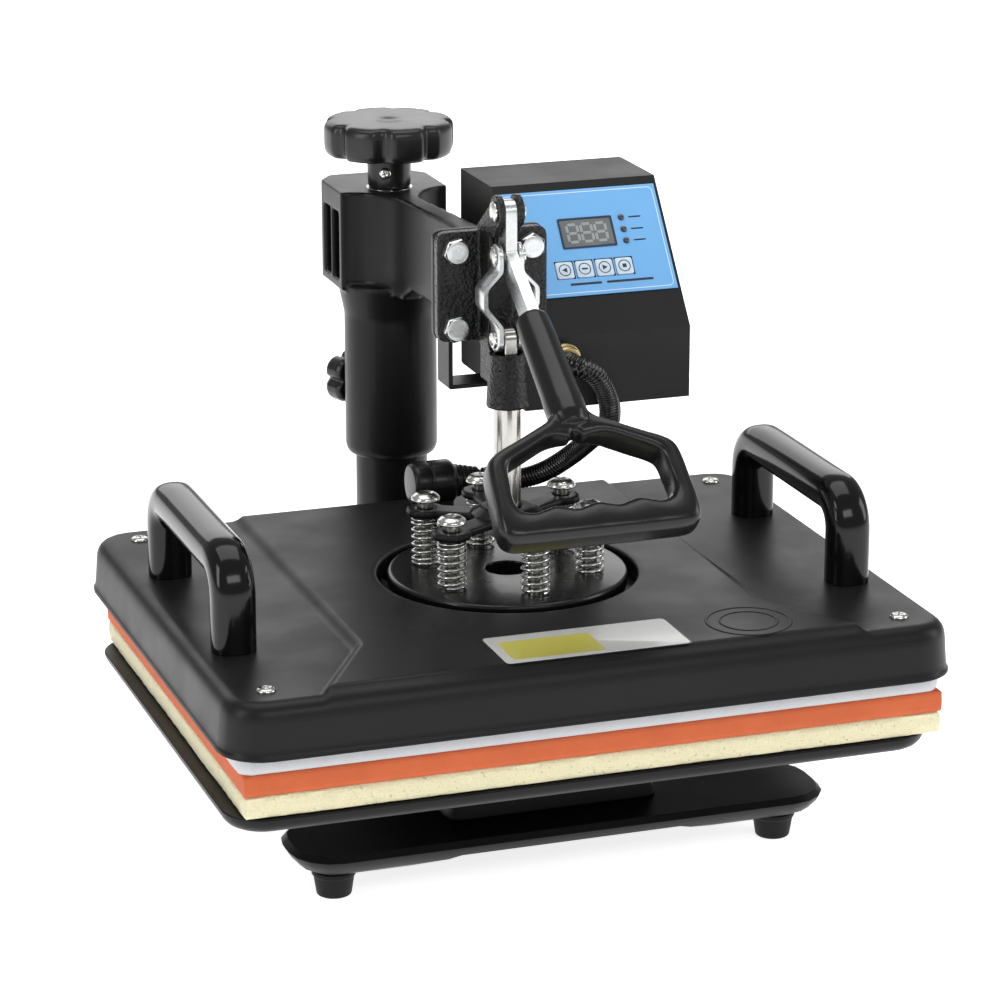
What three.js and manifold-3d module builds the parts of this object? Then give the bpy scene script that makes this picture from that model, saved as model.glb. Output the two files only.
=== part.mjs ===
// Swing-away heat press with a 30 x 38 cm platen, modelled closed and clamped.
// Millimetres, +Z up. The origin is on the floor, under the centre of the press's box.
// +X runs along the platen's long side and -Y is the operator's side.

import * as THREE from 'three';
import { mergeVertices } from 'three/addons/utils/BufferGeometryUtils.js';
import Module from 'manifold-3d';

const wasm = await Module();
wasm.setup();

// ---------------------------------------------------------------- driving dimensions
const GAP = 0.3;
const CUT = 1;

const PLATEN = { y: -53, width: 380, depth: 290 };
const POST_Y = PLATEN.y + 207;
const REACH = POST_Y - PLATEN.y;

const FOOT = { top: 11.75, bottom: 9.25, height: 14 };
const BASE = {
  bottom: FOOT.height + GAP, top: 30, sheet: 2.5, front: -108, frontBack: -48, back: 261,
  frontHalf: 149, spineHalf: 44, rearHalf: 108, rearFront: 196, pad: 11,
  archRise: 7, archHigh: 61, archLow: 88,
};
const BAR_CORNER = { front: 24, rear: 20, spine: 16 };
const TUCK = { low: 16, lowRise: 5, middle: 6, high: 1.5, highDrop: 5.7, brow: 3 };
const FEET = { frontX: 124, frontY: -81, rearX: 84, rearY: 236 };
const RISER = { half: 60, depth: 78, corner: 8, batter: 10 };
const TABLE = { bottom: 63, top: 72.2, halfWidth: 192, halfDepth: 146, centreX: -3, corner: 22 };
const FELT = { bottom: 72.5, top: 84.4, centreX: 1.5 };
const SPONGE = { bottom: 84.7, top: 96.2 };
const FILM = { bottom: 96.6, wall: 0.7, top: 112, halfWidth: 191.5, halfDepth: 146.5, corner: 8 };
const HEATER = { bottom: FILM.bottom + FILM.wall + GAP, top: 121, corner: 7 };
const COVER = {
  rim: 106, lipTop: 109, shoulder: 127, bevel: 131.4, top: 134.7, plateau: 138.5, wall: 2,
  halfWidth: 197.5, halfDepth: 154, lip: 1, corner: 21,
};
const RIDGE = { halfRear: 115, elbowY: -88, halfFront: 150, frontY: -146, rearY: 146, slope: 6 };
const DISC = { r: 65, groove: 70.5, bottom: 121.3, top: 140, hole: 12, lip: 4 };

const SPRINGS = { count: 6, ring: 45, first: 30 };
const SPRING = { bottom: DISC.top + GAP, top: 167, r: 7.3, wire: 0.7, turns: 6 };
const SPIDER = { bottom: 167.3, top: 171.5, hub: 20, hubTop: 175.5, lobe: 10.5, arm: 7, cone: 14 };
const SCREW = { shank: 4, head: 7.9, headBottom: 175.8, headTop: 180.2, seat: 128 };

const HANDLE = { x: 171, legY: 65, bottom: COVER.top + GAP, axisTop: 181, bend: 13, halfX: 12, halfY: 11 };

const POST = { r: 21, bore: 18, bottom: BASE.top + GAP, top: 262, flange: 36, flangeTop: 36 };
const NUT = { bottom: 240, top: 261, r: POST.bore - GAP, hole: 8.4 };
const SPINDLE = {
  r: 8, bottom: 215, collar: 14, collarBottom: 283, collarTop: 290.7, journal: 8.5, top: 338,
};
const WASHER = { bottom: 291, top: 295.7, r: 17, hole: 9 };
const KNOB = {
  r: 37.5, valley: 34.5, lobes: 8, bottom: 326, top: 348, boss: 12.5, bossBottom: 308.6, bore: 8.8,
};

const SLEEVE = { r: 27, bore: 21.4, bottom: 149, top: 250, round: 5, sides: 48 };
const HEAD = {
  bottom: 250, top: 308, roof: 296, halfBack: 24, halfSide: 32, backY: 42, sideBack: 31,
  sideFront: -9, waistSteps: 12, skirt: 16,
};
const HEAD_WINDOW = { y: 11, pitch: 8, half: 6.5, low: 256, high: 295.5, inner: 16 };
const BEAM = { half: 6.5, start: -42, end: -173, bottom: 262, topEnd: 317 };
const FLANGE = { front: 30.3, back: 36.3, half: 31, bottom: 262, top: 322, corner: 4 };

const PLATE = { front: 24, back: 30, half: 31, bottom: 262, top: 322, corner: 5 };
const BOLT = { x: 21.2, low: 269.6, high: 312, af: 13, head: 5.3, shank: 4, end: 37.4 };
const GUIDE = { bottom: 231, top: 260.6, low: 11.5, high: 9.8, bore: 7.6 };
const EAR = { inner: 3.6, outer: 7, r: 9 };

const TOGGLE = { top: 337, elbow: 313, foot: 268, hole: 4.3, pin: 4, head: 2.2 };
const LEVER = { half: 6.5, thick: 3.1, lean: 34, start: 4, reach: 74, elbow: 7.7 };
const LINK = { inner: 4.2, sheet: 3, bulge: 16, halfWidth: 7, rivet: 4.6 };
const ROD = { r: 7.25, bottom: 160, top: 252, tangHalf: 3.4, tangR: 6.4, nut: 11.5, nutTop: 167 };
const GRIP = {
  neckTop: 45, neckFull: 70, neckEnd: 112, topR: 9, fullR: 10, deep: 10, bendAt: 105, bend: 9,
};
// Half outlines of the grip's loop: distance from the lever's axis, then distance from the pin.
const LOOP_OUTSIDE = [[8, 100], [17, 118], [30, 126], [46.5, 134], [51.5, 138.5], [53.5, 178], [49, 185]];
const LOOP_INSIDE = [[14, 127], [28, 134.5], [40, 141.5], [41.5, 145], [42.5, 165], [41, 168]];

const BOX = {
  left: 22, right: 118, front: 33, back: 141, bottom: 217, crease: 257, shelf: 90, top: 330, sheet: 2,
};
const PANEL = { width: 92, height: 64, sheet: 0.5, topMargin: 5.5, margin: 2 };
const SCREEN = { left: 55.5, width: 30.5, down: 18.2, height: 17 };
const KEYS = { xs: [53, 64.6, 76.3, 87.9], down: 48.3, side: 10, proud: 1, travelGap: 0.35 };
const LEDS = { x: 92.4, downs: [19.2, 26.4, 33.3], r: 1.5 };
const BOARD = { depth: 6.2, thick: 1.6, left: 44, right: 108, down: 10, height: 48 };
const STRAP = {
  out: -9.3, width: 20, yMid: 81, sheet: 2.5, bottom: 222, legTop: 292, boxLegTop: 256,
};
const GLAND = { x: 42, z: 246, r: 8, length: 12 };
const INLET = { x: 46, z: 243, width: 28, height: 21, depth: 22 };
const ROCKER = { x: 92, z: 243, width: 20, height: 13, depth: 9, tilt: 8 };
const LOCK = { angle: 110, z: 186, stud: 4, star: 17, lobes: 5, from: 31, to: 46, studTip: 21.7 };

const CONNECTOR = { x: -16, y: 122, z: 153.5, r: 12.8, length: 27, bellows: 15 };
const CONDUIT = { r: 6, sides: 10, steps: 34 };
const CONDUIT_ROUTE = [
  [27, 122, 153.5], [34, 121.6, 153.4], [46, 113.5, 153.5], [58, 102, 160], [68, 86, 173], [73, 66, 188],
  [72, 45, 200], [69.5, 29, 210], [65.5, 20.5, 223], [57, 12, 237], [47.5, 10, 244.5], [42.4, 14.5, 246],
  [42, 20.3, 246],
];

const COLOURS = {
  coverBlack: ['#1c1c1d', 0.45, 0.3],
  castBlack: ['#141415', 0.4, 0.3],
  wrinkleBlack: ['#0f0f10', 0.6, 0.2],
  glossBlack: ['#0a0a0b', 0.15, 0.0],
  softBlack: ['#171716', 0.35, 0.0],
  boxBlack: ['#232324', 0.55, 0.3],
  zinc: ['#b9bdc0', 0.3, 0.9],
  steel: ['#a5a6a6', 0.25, 0.95],
  aluminium: ['#b4b5b5', 0.5, 0.9],
  brass: ['#b59a4e', 0.35, 0.9],
  orange: ['#df6432', 0.8, 0.0],
  cream: ['#efe6b4', 0.95, 0.0],
  white: ['#e9e9ec', 0.5, 0.0],
  blue: ['#6eb4f0', 0.4, 0.0],
  green: ['#1f5a34', 0.6, 0.0],
  rubber: ['#151517', 0.85, 0.0],
};

// ---------------------------------------------------------------- solid helpers
function toSolid(geometry) {
  const bare = geometry.clone();
  bare.deleteAttribute('normal');
  bare.deleteAttribute('uv');
  const welded = mergeVertices(bare, 1e-4);
  const vertProperties = new Float32Array(welded.attributes.position.array);
  const triVerts = new Uint32Array(welded.index.array);
  return new wasm.Manifold(new wasm.Mesh({ numProp: 3, vertProperties, triVerts }));
}

function toGeometry(solid) {
  const mesh = solid.getMesh();
  const geometry = new THREE.BufferGeometry();
  geometry.setAttribute('position', new THREE.BufferAttribute(mesh.vertProperties.slice(), 3));
  geometry.setIndex(new THREE.BufferAttribute(mesh.triVerts.slice(), 1));
  return geometry;
}

function join(...geometries) {
  const solid = geometries.map(toSolid).reduce((whole, next) => whole.add(next));
  return toGeometry(solid);
}

function cut(body, ...tools) {
  const solid = tools.map(toSolid).reduce((whole, next) => whole.subtract(next), toSolid(body));
  return toGeometry(solid);
}

function overlap(a, b) {
  return toGeometry(toSolid(a).intersect(toSolid(b)));
}

// A box from its six faces.
function block(x0, x1, y0, y1, z0, z1) {
  const geometry = new THREE.BoxGeometry(x1 - x0, y1 - y0, z1 - z0);
  return geometry.translate((x0 + x1) / 2, (y0 + y1) / 2, (z0 + z1) / 2);
}

// An upright cone or cylinder from z0 to z1.
function drum(low, high, z0, z1, sides = 32) {
  const geometry = new THREE.CylinderGeometry(high, low, z1 - z0, sides);
  return geometry.rotateX(Math.PI / 2).translate(0, 0, (z0 + z1) / 2);
}

// A cylinder along X from x0 to x1.
function axle(r, x0, x1, sides = 24) {
  const geometry = new THREE.CylinderGeometry(r, r, x1 - x0, sides);
  return geometry.rotateZ(Math.PI / 2).translate((x0 + x1) / 2, 0, 0);
}

// A cylinder along Y from y0 to y1.
function bar(r, y0, y1, sides = 24) {
  return new THREE.CylinderGeometry(r, r, y1 - y0, sides).translate(0, (y0 + y1) / 2, 0);
}

// A ring turned about Z from a closed list of radius and height pairs.
function turned(profile, sides = 40) {
  const points = [...profile, profile[0]].map(([r, z]) => new THREE.Vector2(r, z));
  return new THREE.LatheGeometry(points, sides).rotateX(Math.PI / 2);
}

// A solid turned about Z whose profile runs from the axis back to the axis.
function spun(profile, sides = 40) {
  const points = profile.map(([r, z]) => new THREE.Vector2(r, z));
  return new THREE.LatheGeometry(points, sides).rotateX(Math.PI / 2);
}

// A flat shape in X and Y, given by its corners, raised from z0 to z1.
function prism(corners, z0, z1) {
  const shape = new THREE.Shape(corners.map(([x, y]) => new THREE.Vector2(x, y)));
  return raised(shape, z0, z1);
}

function raised(shape, z0, z1, curveSegments = 6) {
  const geometry = new THREE.ExtrudeGeometry(shape, { depth: z1 - z0, bevelEnabled: false, curveSegments });
  return geometry.translate(0, 0, z0);
}

// A flat shape in Y and Z, drawn as a corner list, spread along X from x0 to x1.
function sidePrism(corners, x0, x1) {
  return prism(corners, x0, x1).rotateX(Math.PI / 2).rotateZ(Math.PI / 2);
}

// A flat shape in X and Z, drawn as a corner list, spread along Y from y0 to y1.
function frontPrism(corners, y0, y1) {
  return prism(corners, -y1, -y0).rotateX(Math.PI / 2);
}

// Points around a rectangle with rounded corners, counter-clockwise.
function roundedOutline(halfWidth, halfDepth, corner, steps = 5) {
  const points = [];
  const centres = [[1, 1, 0], [-1, 1, 90], [-1, -1, 180], [1, -1, 270]];
  for (const [sx, sy, start] of centres) {
    for (let i = 0; i <= steps; i += 1) {
      const turn = THREE.MathUtils.degToRad(start + (90 * i) / steps);
      const x = sx * (halfWidth - corner) + corner * Math.cos(turn);
      const y = sy * (halfDepth - corner) + corner * Math.sin(turn);
      points.push([x, y]);
    }
  }
  return points;
}

// A closed skin through outlines of equal length stacked at rising heights.
function stacked(levels) {
  const count = levels[0].outline.length;
  const positions = [];
  const index = [];
  for (const { outline, z } of levels) {
    for (const [x, y] of outline) positions.push(x, y, z);
  }
  for (let k = 0; k < levels.length - 1; k += 1) {
    for (let i = 0; i < count; i += 1) {
      const a = k * count + i;
      const b = k * count + ((i + 1) % count);
      index.push(a, b, a + count, b, b + count, a + count);
    }
  }
  const last = (levels.length - 1) * count;
  const flat = levels[0].outline.map(([x, y]) => new THREE.Vector2(x, y));
  for (const [a, b, c] of THREE.ShapeUtils.triangulateShape(flat, [])) {
    index.push(a, c, b);
    index.push(last + a, last + b, last + c);
  }
  const geometry = new THREE.BufferGeometry();
  geometry.setAttribute('position', new THREE.Float32BufferAttribute(positions, 3));
  geometry.setIndex(index);
  return geometry;
}

// A rectangular slab with rounded corners whose sides follow a list of [inset, height] steps.
function slab(halfWidth, halfDepth, corner, steps, segments = 5) {
  return stacked(steps.map(([inset, z]) => ({
    outline: roundedOutline(halfWidth - inset, halfDepth - inset, Math.max(corner - inset, 1), segments),
    z,
  })));
}

// A bar of oval section swept along a path.
function swept(path, halfA, halfB, sides, steps) {
  const section = new THREE.Shape();
  for (let i = 0; i < sides; i += 1) {
    const turn = (2 * Math.PI * i) / sides;
    const [a, b] = [halfA * Math.cos(turn), halfB * Math.sin(turn)];
    if (i === 0) section.moveTo(a, b);
    else section.lineTo(a, b);
  }
  return new THREE.ExtrudeGeometry(section, { steps, extrudePath: path, bevelEnabled: false });
}

function hexagon(acrossFlats) {
  const r = acrossFlats / Math.sqrt(3);
  return Array.from({ length: 6 }, (_, i) => {
    const turn = (i * Math.PI) / 3;
    return [r * Math.cos(turn), r * Math.sin(turn)];
  });
}

// A rounded star outline with lobes between two radii.
function scalloped(outer, valley, lobes, pointsPerLobe = 6) {
  const count = lobes * pointsPerLobe;
  return Array.from({ length: count }, (_, i) => {
    const turn = (2 * Math.PI * i) / count;
    const swell = Math.sqrt(Math.abs(Math.cos((lobes * turn) / 2)));
    const r = valley + (outer - valley) * swell;
    return [r * Math.cos(turn), r * Math.sin(turn)];
  });
}

function scaledOutline(outline, factor) {
  return outline.map(([x, y]) => [x * factor, y * factor]);
}

// ---------------------------------------------------------------- scene helpers
function material(colourName) {
  const [color, roughness, metalness] = COLOURS[colourName];
  return new THREE.MeshStandardMaterial({ color, roughness, metalness });
}

function piece(name, geometry, colourName) {
  const mesh = new THREE.Mesh(geometry, material(colourName));
  mesh.name = name;
  return mesh;
}

function groupAt(y, ...members) {
  const group = new THREE.Group();
  group.position.set(0, y, 0);
  group.add(...members);
  return group;
}

// ---------------------------------------------------------------- base and lower table
function foot(name, x, y) {
  const mesh = piece(name, drum(FOOT.bottom, FOOT.top, 0, FOOT.height, 20), 'rubber');
  mesh.position.set(x, y, 0);
  return mesh;
}

// One bar of the pressed base, tucked in under its rounded brow.
function baseBar(half, y0, y1, corner, inset, z0, z1) {
  const steps = [
    [inset + TUCK.low, z0],
    [inset + TUCK.middle, BASE.bottom + TUCK.lowRise],
    [inset + TUCK.high, z1 - TUCK.highDrop],
    [inset, z1 - TUCK.brow],
    [inset + TUCK.brow, z1],
  ];
  return slab(half, (y1 - y0) / 2, corner, steps, 4).translate(0, (y0 + y1) / 2, 0);
}

// The front bar, rear bar and spine together.
function baseBars(inset, z0, z1) {
  return join(
    baseBar(BASE.frontHalf, BASE.front, BASE.frontBack, BAR_CORNER.front, inset, z0, z1),
    baseBar(BASE.rearHalf, BASE.rearFront, BASE.back, BAR_CORNER.rear, inset, z0, z1),
    baseBar(BASE.spineHalf, BASE.front, BASE.back, BAR_CORNER.spine, inset, z0, z1),
  );
}

function footPlaces() {
  return [
    ['foot_front_left', -FEET.frontX, FEET.frontY],
    ['foot_front_right', FEET.frontX, FEET.frontY],
    ['foot_rear_left', -FEET.rearX, FEET.rearY],
    ['foot_rear_right', FEET.rearX, FEET.rearY],
  ];
}

// The pressed base, hollow from below, with its riser, foot bosses and the arch in its front.
function baseFrame() {
  const roof = BASE.top - BASE.sheet;
  const shell = cut(baseBars(0, BASE.bottom, BASE.top), baseBars(BASE.sheet, BASE.bottom - CUT, roof));
  const bosses = footPlaces().map(([, x, y]) => (
    drum(BASE.pad, BASE.pad, BASE.bottom, roof + CUT, 16).translate(x, y, 0)
  ));
  const arch = frontPrism(
    [[-BASE.archLow, BASE.bottom - CUT], [BASE.archLow, BASE.bottom - CUT],
      [BASE.archHigh, BASE.bottom + BASE.archRise], [-BASE.archHigh, BASE.bottom + BASE.archRise]],
    BASE.front - CUT,
    BASE.frontBack + CUT,
  );
  const seat = TABLE.bottom - GAP;
  const wall = BASE.sheet + CUT / 2;
  const riser = slab(RISER.half, RISER.depth, RISER.corner, [[0, BASE.top - CUT], [RISER.batter, seat]], 2);
  const hollow = slab(RISER.half, RISER.depth, RISER.corner,
    [[wall, roof - CUT], [wall + RISER.batter, seat - BASE.sheet]], 2);
  const whole = cut(join(shell, riser, ...bosses), hollow, arch);
  return piece('base_frame', whole, 'castBlack');
}

function postTube() {
  const profile = [
    [POST.bore, POST.bottom], [POST.flange, POST.bottom], [POST.flange, POST.flangeTop - 2],
    [POST.r + 4, POST.flangeTop], [POST.r, POST.flangeTop + 4], [POST.r, POST.top], [POST.bore, POST.top],
  ];
  return piece('post', turned(profile, 32), 'castBlack');
}

function postNut() {
  return piece('post_nut', cut(drum(NUT.r, NUT.r, NUT.bottom, NUT.top, 32),
    drum(NUT.hole, NUT.hole, NUT.bottom - CUT, NUT.top + CUT, 24)), 'brass');
}

function lowerTable() {
  const steps = [[9, TABLE.bottom], [4.5, TABLE.bottom + 1.5], [1.5, TABLE.bottom + 4.4], [0, TABLE.top]];
  const tray = slab(TABLE.halfWidth, TABLE.halfDepth, TABLE.corner, steps).translate(TABLE.centreX, 0, 0);
  return piece('lower_table', tray, 'castBlack');
}

function lowerPads() {
  const [x, y] = [PLATEN.width / 2, PLATEN.depth / 2];
  const sheet = ({ bottom, top }) => block(-x, x, -y, y, bottom, top).translate(FELT.centreX, 0, 0);
  return [
    piece('felt_pad', sheet(FELT), 'cream'),
    piece('silicone_pad', sheet(SPONGE), 'orange'),
  ];
}

// ---------------------------------------------------------------- heated platen
// The raised middle of the cover flares out towards the operator.
function ridgeOutline(inset) {
  const [rear, front] = [RIDGE.halfRear - inset, RIDGE.halfFront - inset];
  const [y0, y1] = [RIDGE.frontY + inset * 0.3, RIDGE.rearY - inset * 0.3];
  return [[-front, y0], [front, y0], [rear, RIDGE.elbowY], [rear, y1], [-rear, y1], [-rear, RIDGE.elbowY]];
}

function heatCover() {
  const outer = [
    [0, COVER.rim], [0, COVER.rim + 1.2], [COVER.lip, COVER.lipTop], [COVER.lip + 1, COVER.shoulder],
    [COVER.lip + 3.6, COVER.bevel], [COVER.lip + 9.5, COVER.top],
  ];
  const inner = [
    [COVER.lip + COVER.wall, COVER.rim - CUT], [COVER.lip + 1 + COVER.wall, COVER.shoulder - COVER.wall],
    [COVER.lip + 4 + COVER.wall, COVER.bevel - COVER.wall],
    [COVER.lip + 9 + COVER.wall, COVER.top - COVER.wall],
  ];
  const shell = slab(COVER.halfWidth + COVER.lip, COVER.halfDepth + COVER.lip, COVER.corner, outer, 5);
  const hollow = slab(COVER.halfWidth + COVER.lip, COVER.halfDepth + COVER.lip, COVER.corner, inner, 5);
  const levels = [
    { outline: ridgeOutline(0), z: COVER.top - COVER.wall / 2 },
    { outline: ridgeOutline(1), z: COVER.top },
    { outline: ridgeOutline(RIDGE.slope), z: COVER.plateau },
  ];
  const hole = drum(DISC.groove, DISC.groove, COVER.rim, COVER.plateau + CUT, 36);
  return piece('heat_cover', cut(join(shell, stacked(levels)), hollow, hole), 'coverBlack');
}

function heatingPlate() {
  const inset = FILM.wall + GAP;
  const steps = [[0, HEATER.bottom], [0, 110], [6, 112], [6, HEATER.top]];
  const plate = slab(FILM.halfWidth - inset, FILM.halfDepth - inset, HEATER.corner, steps, 3);
  const holes = screwPlaces().map(([x, y]) => (
    drum(3, 3, HEATER.top - 6, HEATER.top + CUT, 12).translate(x, y, 0)
  ));
  return piece('heating_plate', cut(plate, ...holes), 'aluminium');
}

function releaseFilm() {
  const skin = slab(FILM.halfWidth, FILM.halfDepth, FILM.corner, [[0, FILM.bottom], [0, FILM.top - 2]], 3);
  const hollow = slab(FILM.halfWidth - FILM.wall, FILM.halfDepth - FILM.wall, FILM.corner - FILM.wall,
    [[0, FILM.bottom + FILM.wall], [0, FILM.top]], 3);
  return piece('release_film', cut(skin, hollow), 'white');
}

function screwPlaces() {
  return Array.from({ length: SPRINGS.count }, (_, i) => {
    const turn = THREE.MathUtils.degToRad(SPRINGS.first + (360 * i) / SPRINGS.count);
    return [SPRINGS.ring * Math.cos(turn), SPRINGS.ring * Math.sin(turn)];
  });
}

function springDisc() {
  const profile = [
    [DISC.hole, DISC.bottom], [DISC.r - DISC.lip, DISC.bottom], [DISC.r - DISC.lip, COVER.plateau - 8],
    [DISC.r, COVER.plateau - 6], [DISC.r, DISC.top - 1.5], [DISC.r - 1.5, DISC.top], [DISC.hole, DISC.top],
  ];
  const holes = screwPlaces().map(([x, y]) => (
    drum(SCREW.shank + GAP, SCREW.shank + GAP, SCREW.seat - GAP, DISC.top + CUT, 10).translate(x, y, 0)
  ));
  return piece('spring_disc', cut(turned(profile, 36), ...holes), 'castBlack');
}

function springScrew(name, x, y) {
  const { shank, head, headBottom, headTop, seat } = SCREW;
  const profile = [
    [0, seat], [shank, seat], [shank, headBottom], [head, headBottom], [head, headTop - 2],
    [head - 3, headTop], [0, headTop],
  ];
  const mesh = piece(name, spun(profile, 12), 'zinc');
  mesh.position.set(x, y, 0);
  return mesh;
}

// A compression spring: one wire wound around its screw.
function springCoil(name, x, y) {
  const { bottom, top, r, wire, turns } = SPRING;
  class Helix extends THREE.Curve {
    getPoint(t) {
      const turn = t * turns * 2 * Math.PI;
      const z = bottom + wire + t * (top - bottom - 2 * wire);
      return new THREE.Vector3(r * Math.cos(turn), r * Math.sin(turn), z);
    }
  }
  const mesh = piece(name, swept(new Helix(), wire, wire, 4, turns * 8), 'zinc');
  mesh.position.set(x, y, 0);
  return mesh;
}

// A U-shaped hand bar standing on the cover.
function sideHandle(name, x) {
  const { legY, bottom, axisTop, bend, halfX, halfY } = HANDLE;
  const path = new THREE.CurvePath();
  const corner = (y0, z0, y1, z1, yc, zc) => new THREE.QuadraticBezierCurve3(
    new THREE.Vector3(0, y0, z0), new THREE.Vector3(0, yc, zc), new THREE.Vector3(0, y1, z1),
  );
  const straight = (y0, z0, y1, z1) => (
    new THREE.LineCurve3(new THREE.Vector3(0, y0, z0), new THREE.Vector3(0, y1, z1))
  );
  path.add(straight(-legY, bottom, -legY, axisTop - bend));
  path.add(corner(-legY, axisTop - bend, -legY + bend, axisTop, -legY, axisTop));
  path.add(straight(-legY + bend, axisTop, legY - bend, axisTop));
  path.add(corner(legY - bend, axisTop, legY, axisTop - bend, legY, axisTop));
  path.add(straight(legY, axisTop - bend, legY, bottom));
  const mesh = piece(name, swept(path, halfY, halfX, 10, 24), 'glossBlack');
  mesh.position.set(x, 0, 0);
  return mesh;
}

// The heater plug lies on the cover's rear and ends in a ribbed strain relief.
function heaterConnector() {
  const { x, y, z, r, length, bellows } = CONNECTOR;
  const end = x + length;
  const shell = spun([[0, 0], [r - 2, 0], [r, 2], [r, length - 3], [r - 3, length], [0, length]], 28);
  const relief = spun([[0, length - CUT], [9, length - CUT], [9, length + 3], [7, length + bellows],
    [0, length + bellows]], 20);
  const body = join(shell, relief).rotateY(Math.PI / 2).translate(x, y, z);
  const base = block(x + 3, end - 4, y - 9, y + 9, COVER.plateau + GAP, z);
  return piece('heater_connector', join(body, base), 'softBlack');
}

// ---------------------------------------------------------------- plunger
function plungerRod() {
  const shaft = drum(ROD.r, ROD.r, ROD.bottom, ROD.top, 20);
  const nut = prism(hexagon(ROD.nut * 2), ROD.bottom, ROD.nutTop);
  const tang = join(
    block(-ROD.tangHalf, ROD.tangHalf, -ROD.tangR, ROD.tangR, ROD.top - CUT, TOGGLE.foot),
    axle(ROD.tangR, -ROD.tangHalf, ROD.tangHalf, 24).translate(0, 0, TOGGLE.foot),
    axle(TOGGLE.pin - 0.5, -ROD.tangHalf - 0.5, ROD.tangHalf + 0.5, 20).translate(0, 0, TOGGLE.foot),
  );
  return piece('plunger_rod', join(shaft, nut, tang), 'steel');
}

// The six-armed plate on the rod's lower end that presses on the springs.
function spiderPlate() {
  const hub = spun([[0, SPIDER.bottom], [SPIDER.hub, SPIDER.bottom], [SPIDER.hub, SPIDER.top],
    [SPIDER.cone, SPIDER.hubTop], [0, SPIDER.hubTop]], 20);
  const clear = SCREW.shank + 0.5;
  const parts = [hub];
  const cuts = [drum(ROD.r + GAP, ROD.r + GAP, SPIDER.bottom - CUT, SPIDER.hubTop + CUT, 20)];
  for (const [x, y] of screwPlaces()) {
    const turn = Math.atan2(y, x);
    parts.push(drum(SPIDER.lobe, SPIDER.lobe, SPIDER.bottom, SPIDER.top, 14).translate(x, y, 0));
    parts.push(block(0, SPRINGS.ring, -SPIDER.arm, SPIDER.arm, SPIDER.bottom, SPIDER.top).rotateZ(turn));
    cuts.push(drum(clear, clear, SPIDER.bottom - CUT, SPIDER.top + CUT, 10).translate(x, y, 0));
  }
  return piece('spider_plate', cut(join(...parts), ...cuts), 'castBlack');
}

// ---------------------------------------------------------------- toggle lever
// Outline of the flat lever bar in Y and Z, bent forwards at the middle pivot.
function leverBar() {
  const { half, thick, start, reach } = LEVER;
  const lean = THREE.MathUtils.degToRad(LEVER.lean);
  const along = [-Math.cos(lean), -Math.sin(lean)];
  const across = [-along[1], along[0]];
  const at = (distance, side) => [
    along[0] * distance + across[0] * side,
    TOGGLE.elbow + along[1] * distance + across[1] * side,
  ];
  const corners = [at(start, half), at(reach, half), at(reach, -half), at(start, -half)];
  const shank = sidePrism(corners, -thick, thick);
  const upright = block(-thick, thick, -half, half, TOGGLE.elbow, TOGGLE.top);
  const crown = axle(half, -thick, thick, 24).translate(0, 0, TOGGLE.top);
  const elbow = axle(LEVER.elbow, -thick, thick, 24).translate(0, 0, TOGGLE.elbow);
  const holes = [TOGGLE.top, TOGGLE.elbow].map((z) => (
    axle(TOGGLE.hole, -thick - CUT, thick + CUT, 20).translate(0, 0, z)
  ));
  return piece('lever_bar', cut(join(shank, upright, crown, elbow), ...holes), 'zinc');
}

// A pivot pin along X with a head at each end, beyond the parts it holds.
function headedPin(name, z, half, head) {
  const end = half + TOGGLE.head;
  const body = axle(TOGGLE.pin, -end + GAP, end - GAP, 20);
  const caps = [axle(head, -end, -half, 20), axle(head, half, end, 20)];
  return piece(name, join(body, ...caps).translate(0, 0, z), 'zinc');
}

// A strap link that bows outwards between its two eyes.
function linkStrap(name, side) {
  const { inner, sheet, bulge, halfWidth } = LINK;
  const [top, bottom] = [TOGGLE.elbow, TOGGLE.foot];
  const inside = [
    [inner, top + halfWidth], [inner, top - 8], [bulge - sheet, top - 17], [bulge - sheet, bottom + 19],
    [inner, bottom + 9], [inner, bottom - halfWidth],
  ];
  const outside = [
    [inner + sheet, bottom - halfWidth], [inner + sheet, bottom + 7.6], [bulge, bottom + 17.4],
    [bulge, top - 15.4], [inner + sheet, top - 6.6], [inner + sheet, top + halfWidth],
  ];
  const corners = [...inside, ...outside].map(([x, z]) => [side * x, z]);
  const ribbon = frontPrism(side > 0 ? corners : corners.reverse(), -halfWidth, halfWidth);
  const eye = (z) => axle(halfWidth, -30, 30, 24).translate(0, 0, z);
  const profile = join(eye(top), eye(bottom), block(-30, 30, -halfWidth, halfWidth, bottom, top));
  const holeTop = axle(TOGGLE.hole, -30, 30, 20).translate(0, 0, top);
  const face = side * (inner + sheet);
  const rivet = axle(LINK.rivet, face - 1.6, face + 1.6, 20).translate(0, 0, bottom);
  return piece(name, join(cut(overlap(ribbon, profile), holeTop), rivet), 'zinc');
}

// Both halves of an outline given by its right half, pointing down from the pin.
function mirrored(half) {
  const right = half.map(([x, down]) => [x, -down]);
  const left = half.map(([x, down]) => [-x, -down]).reverse();
  return [...left, ...right];
}

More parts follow.
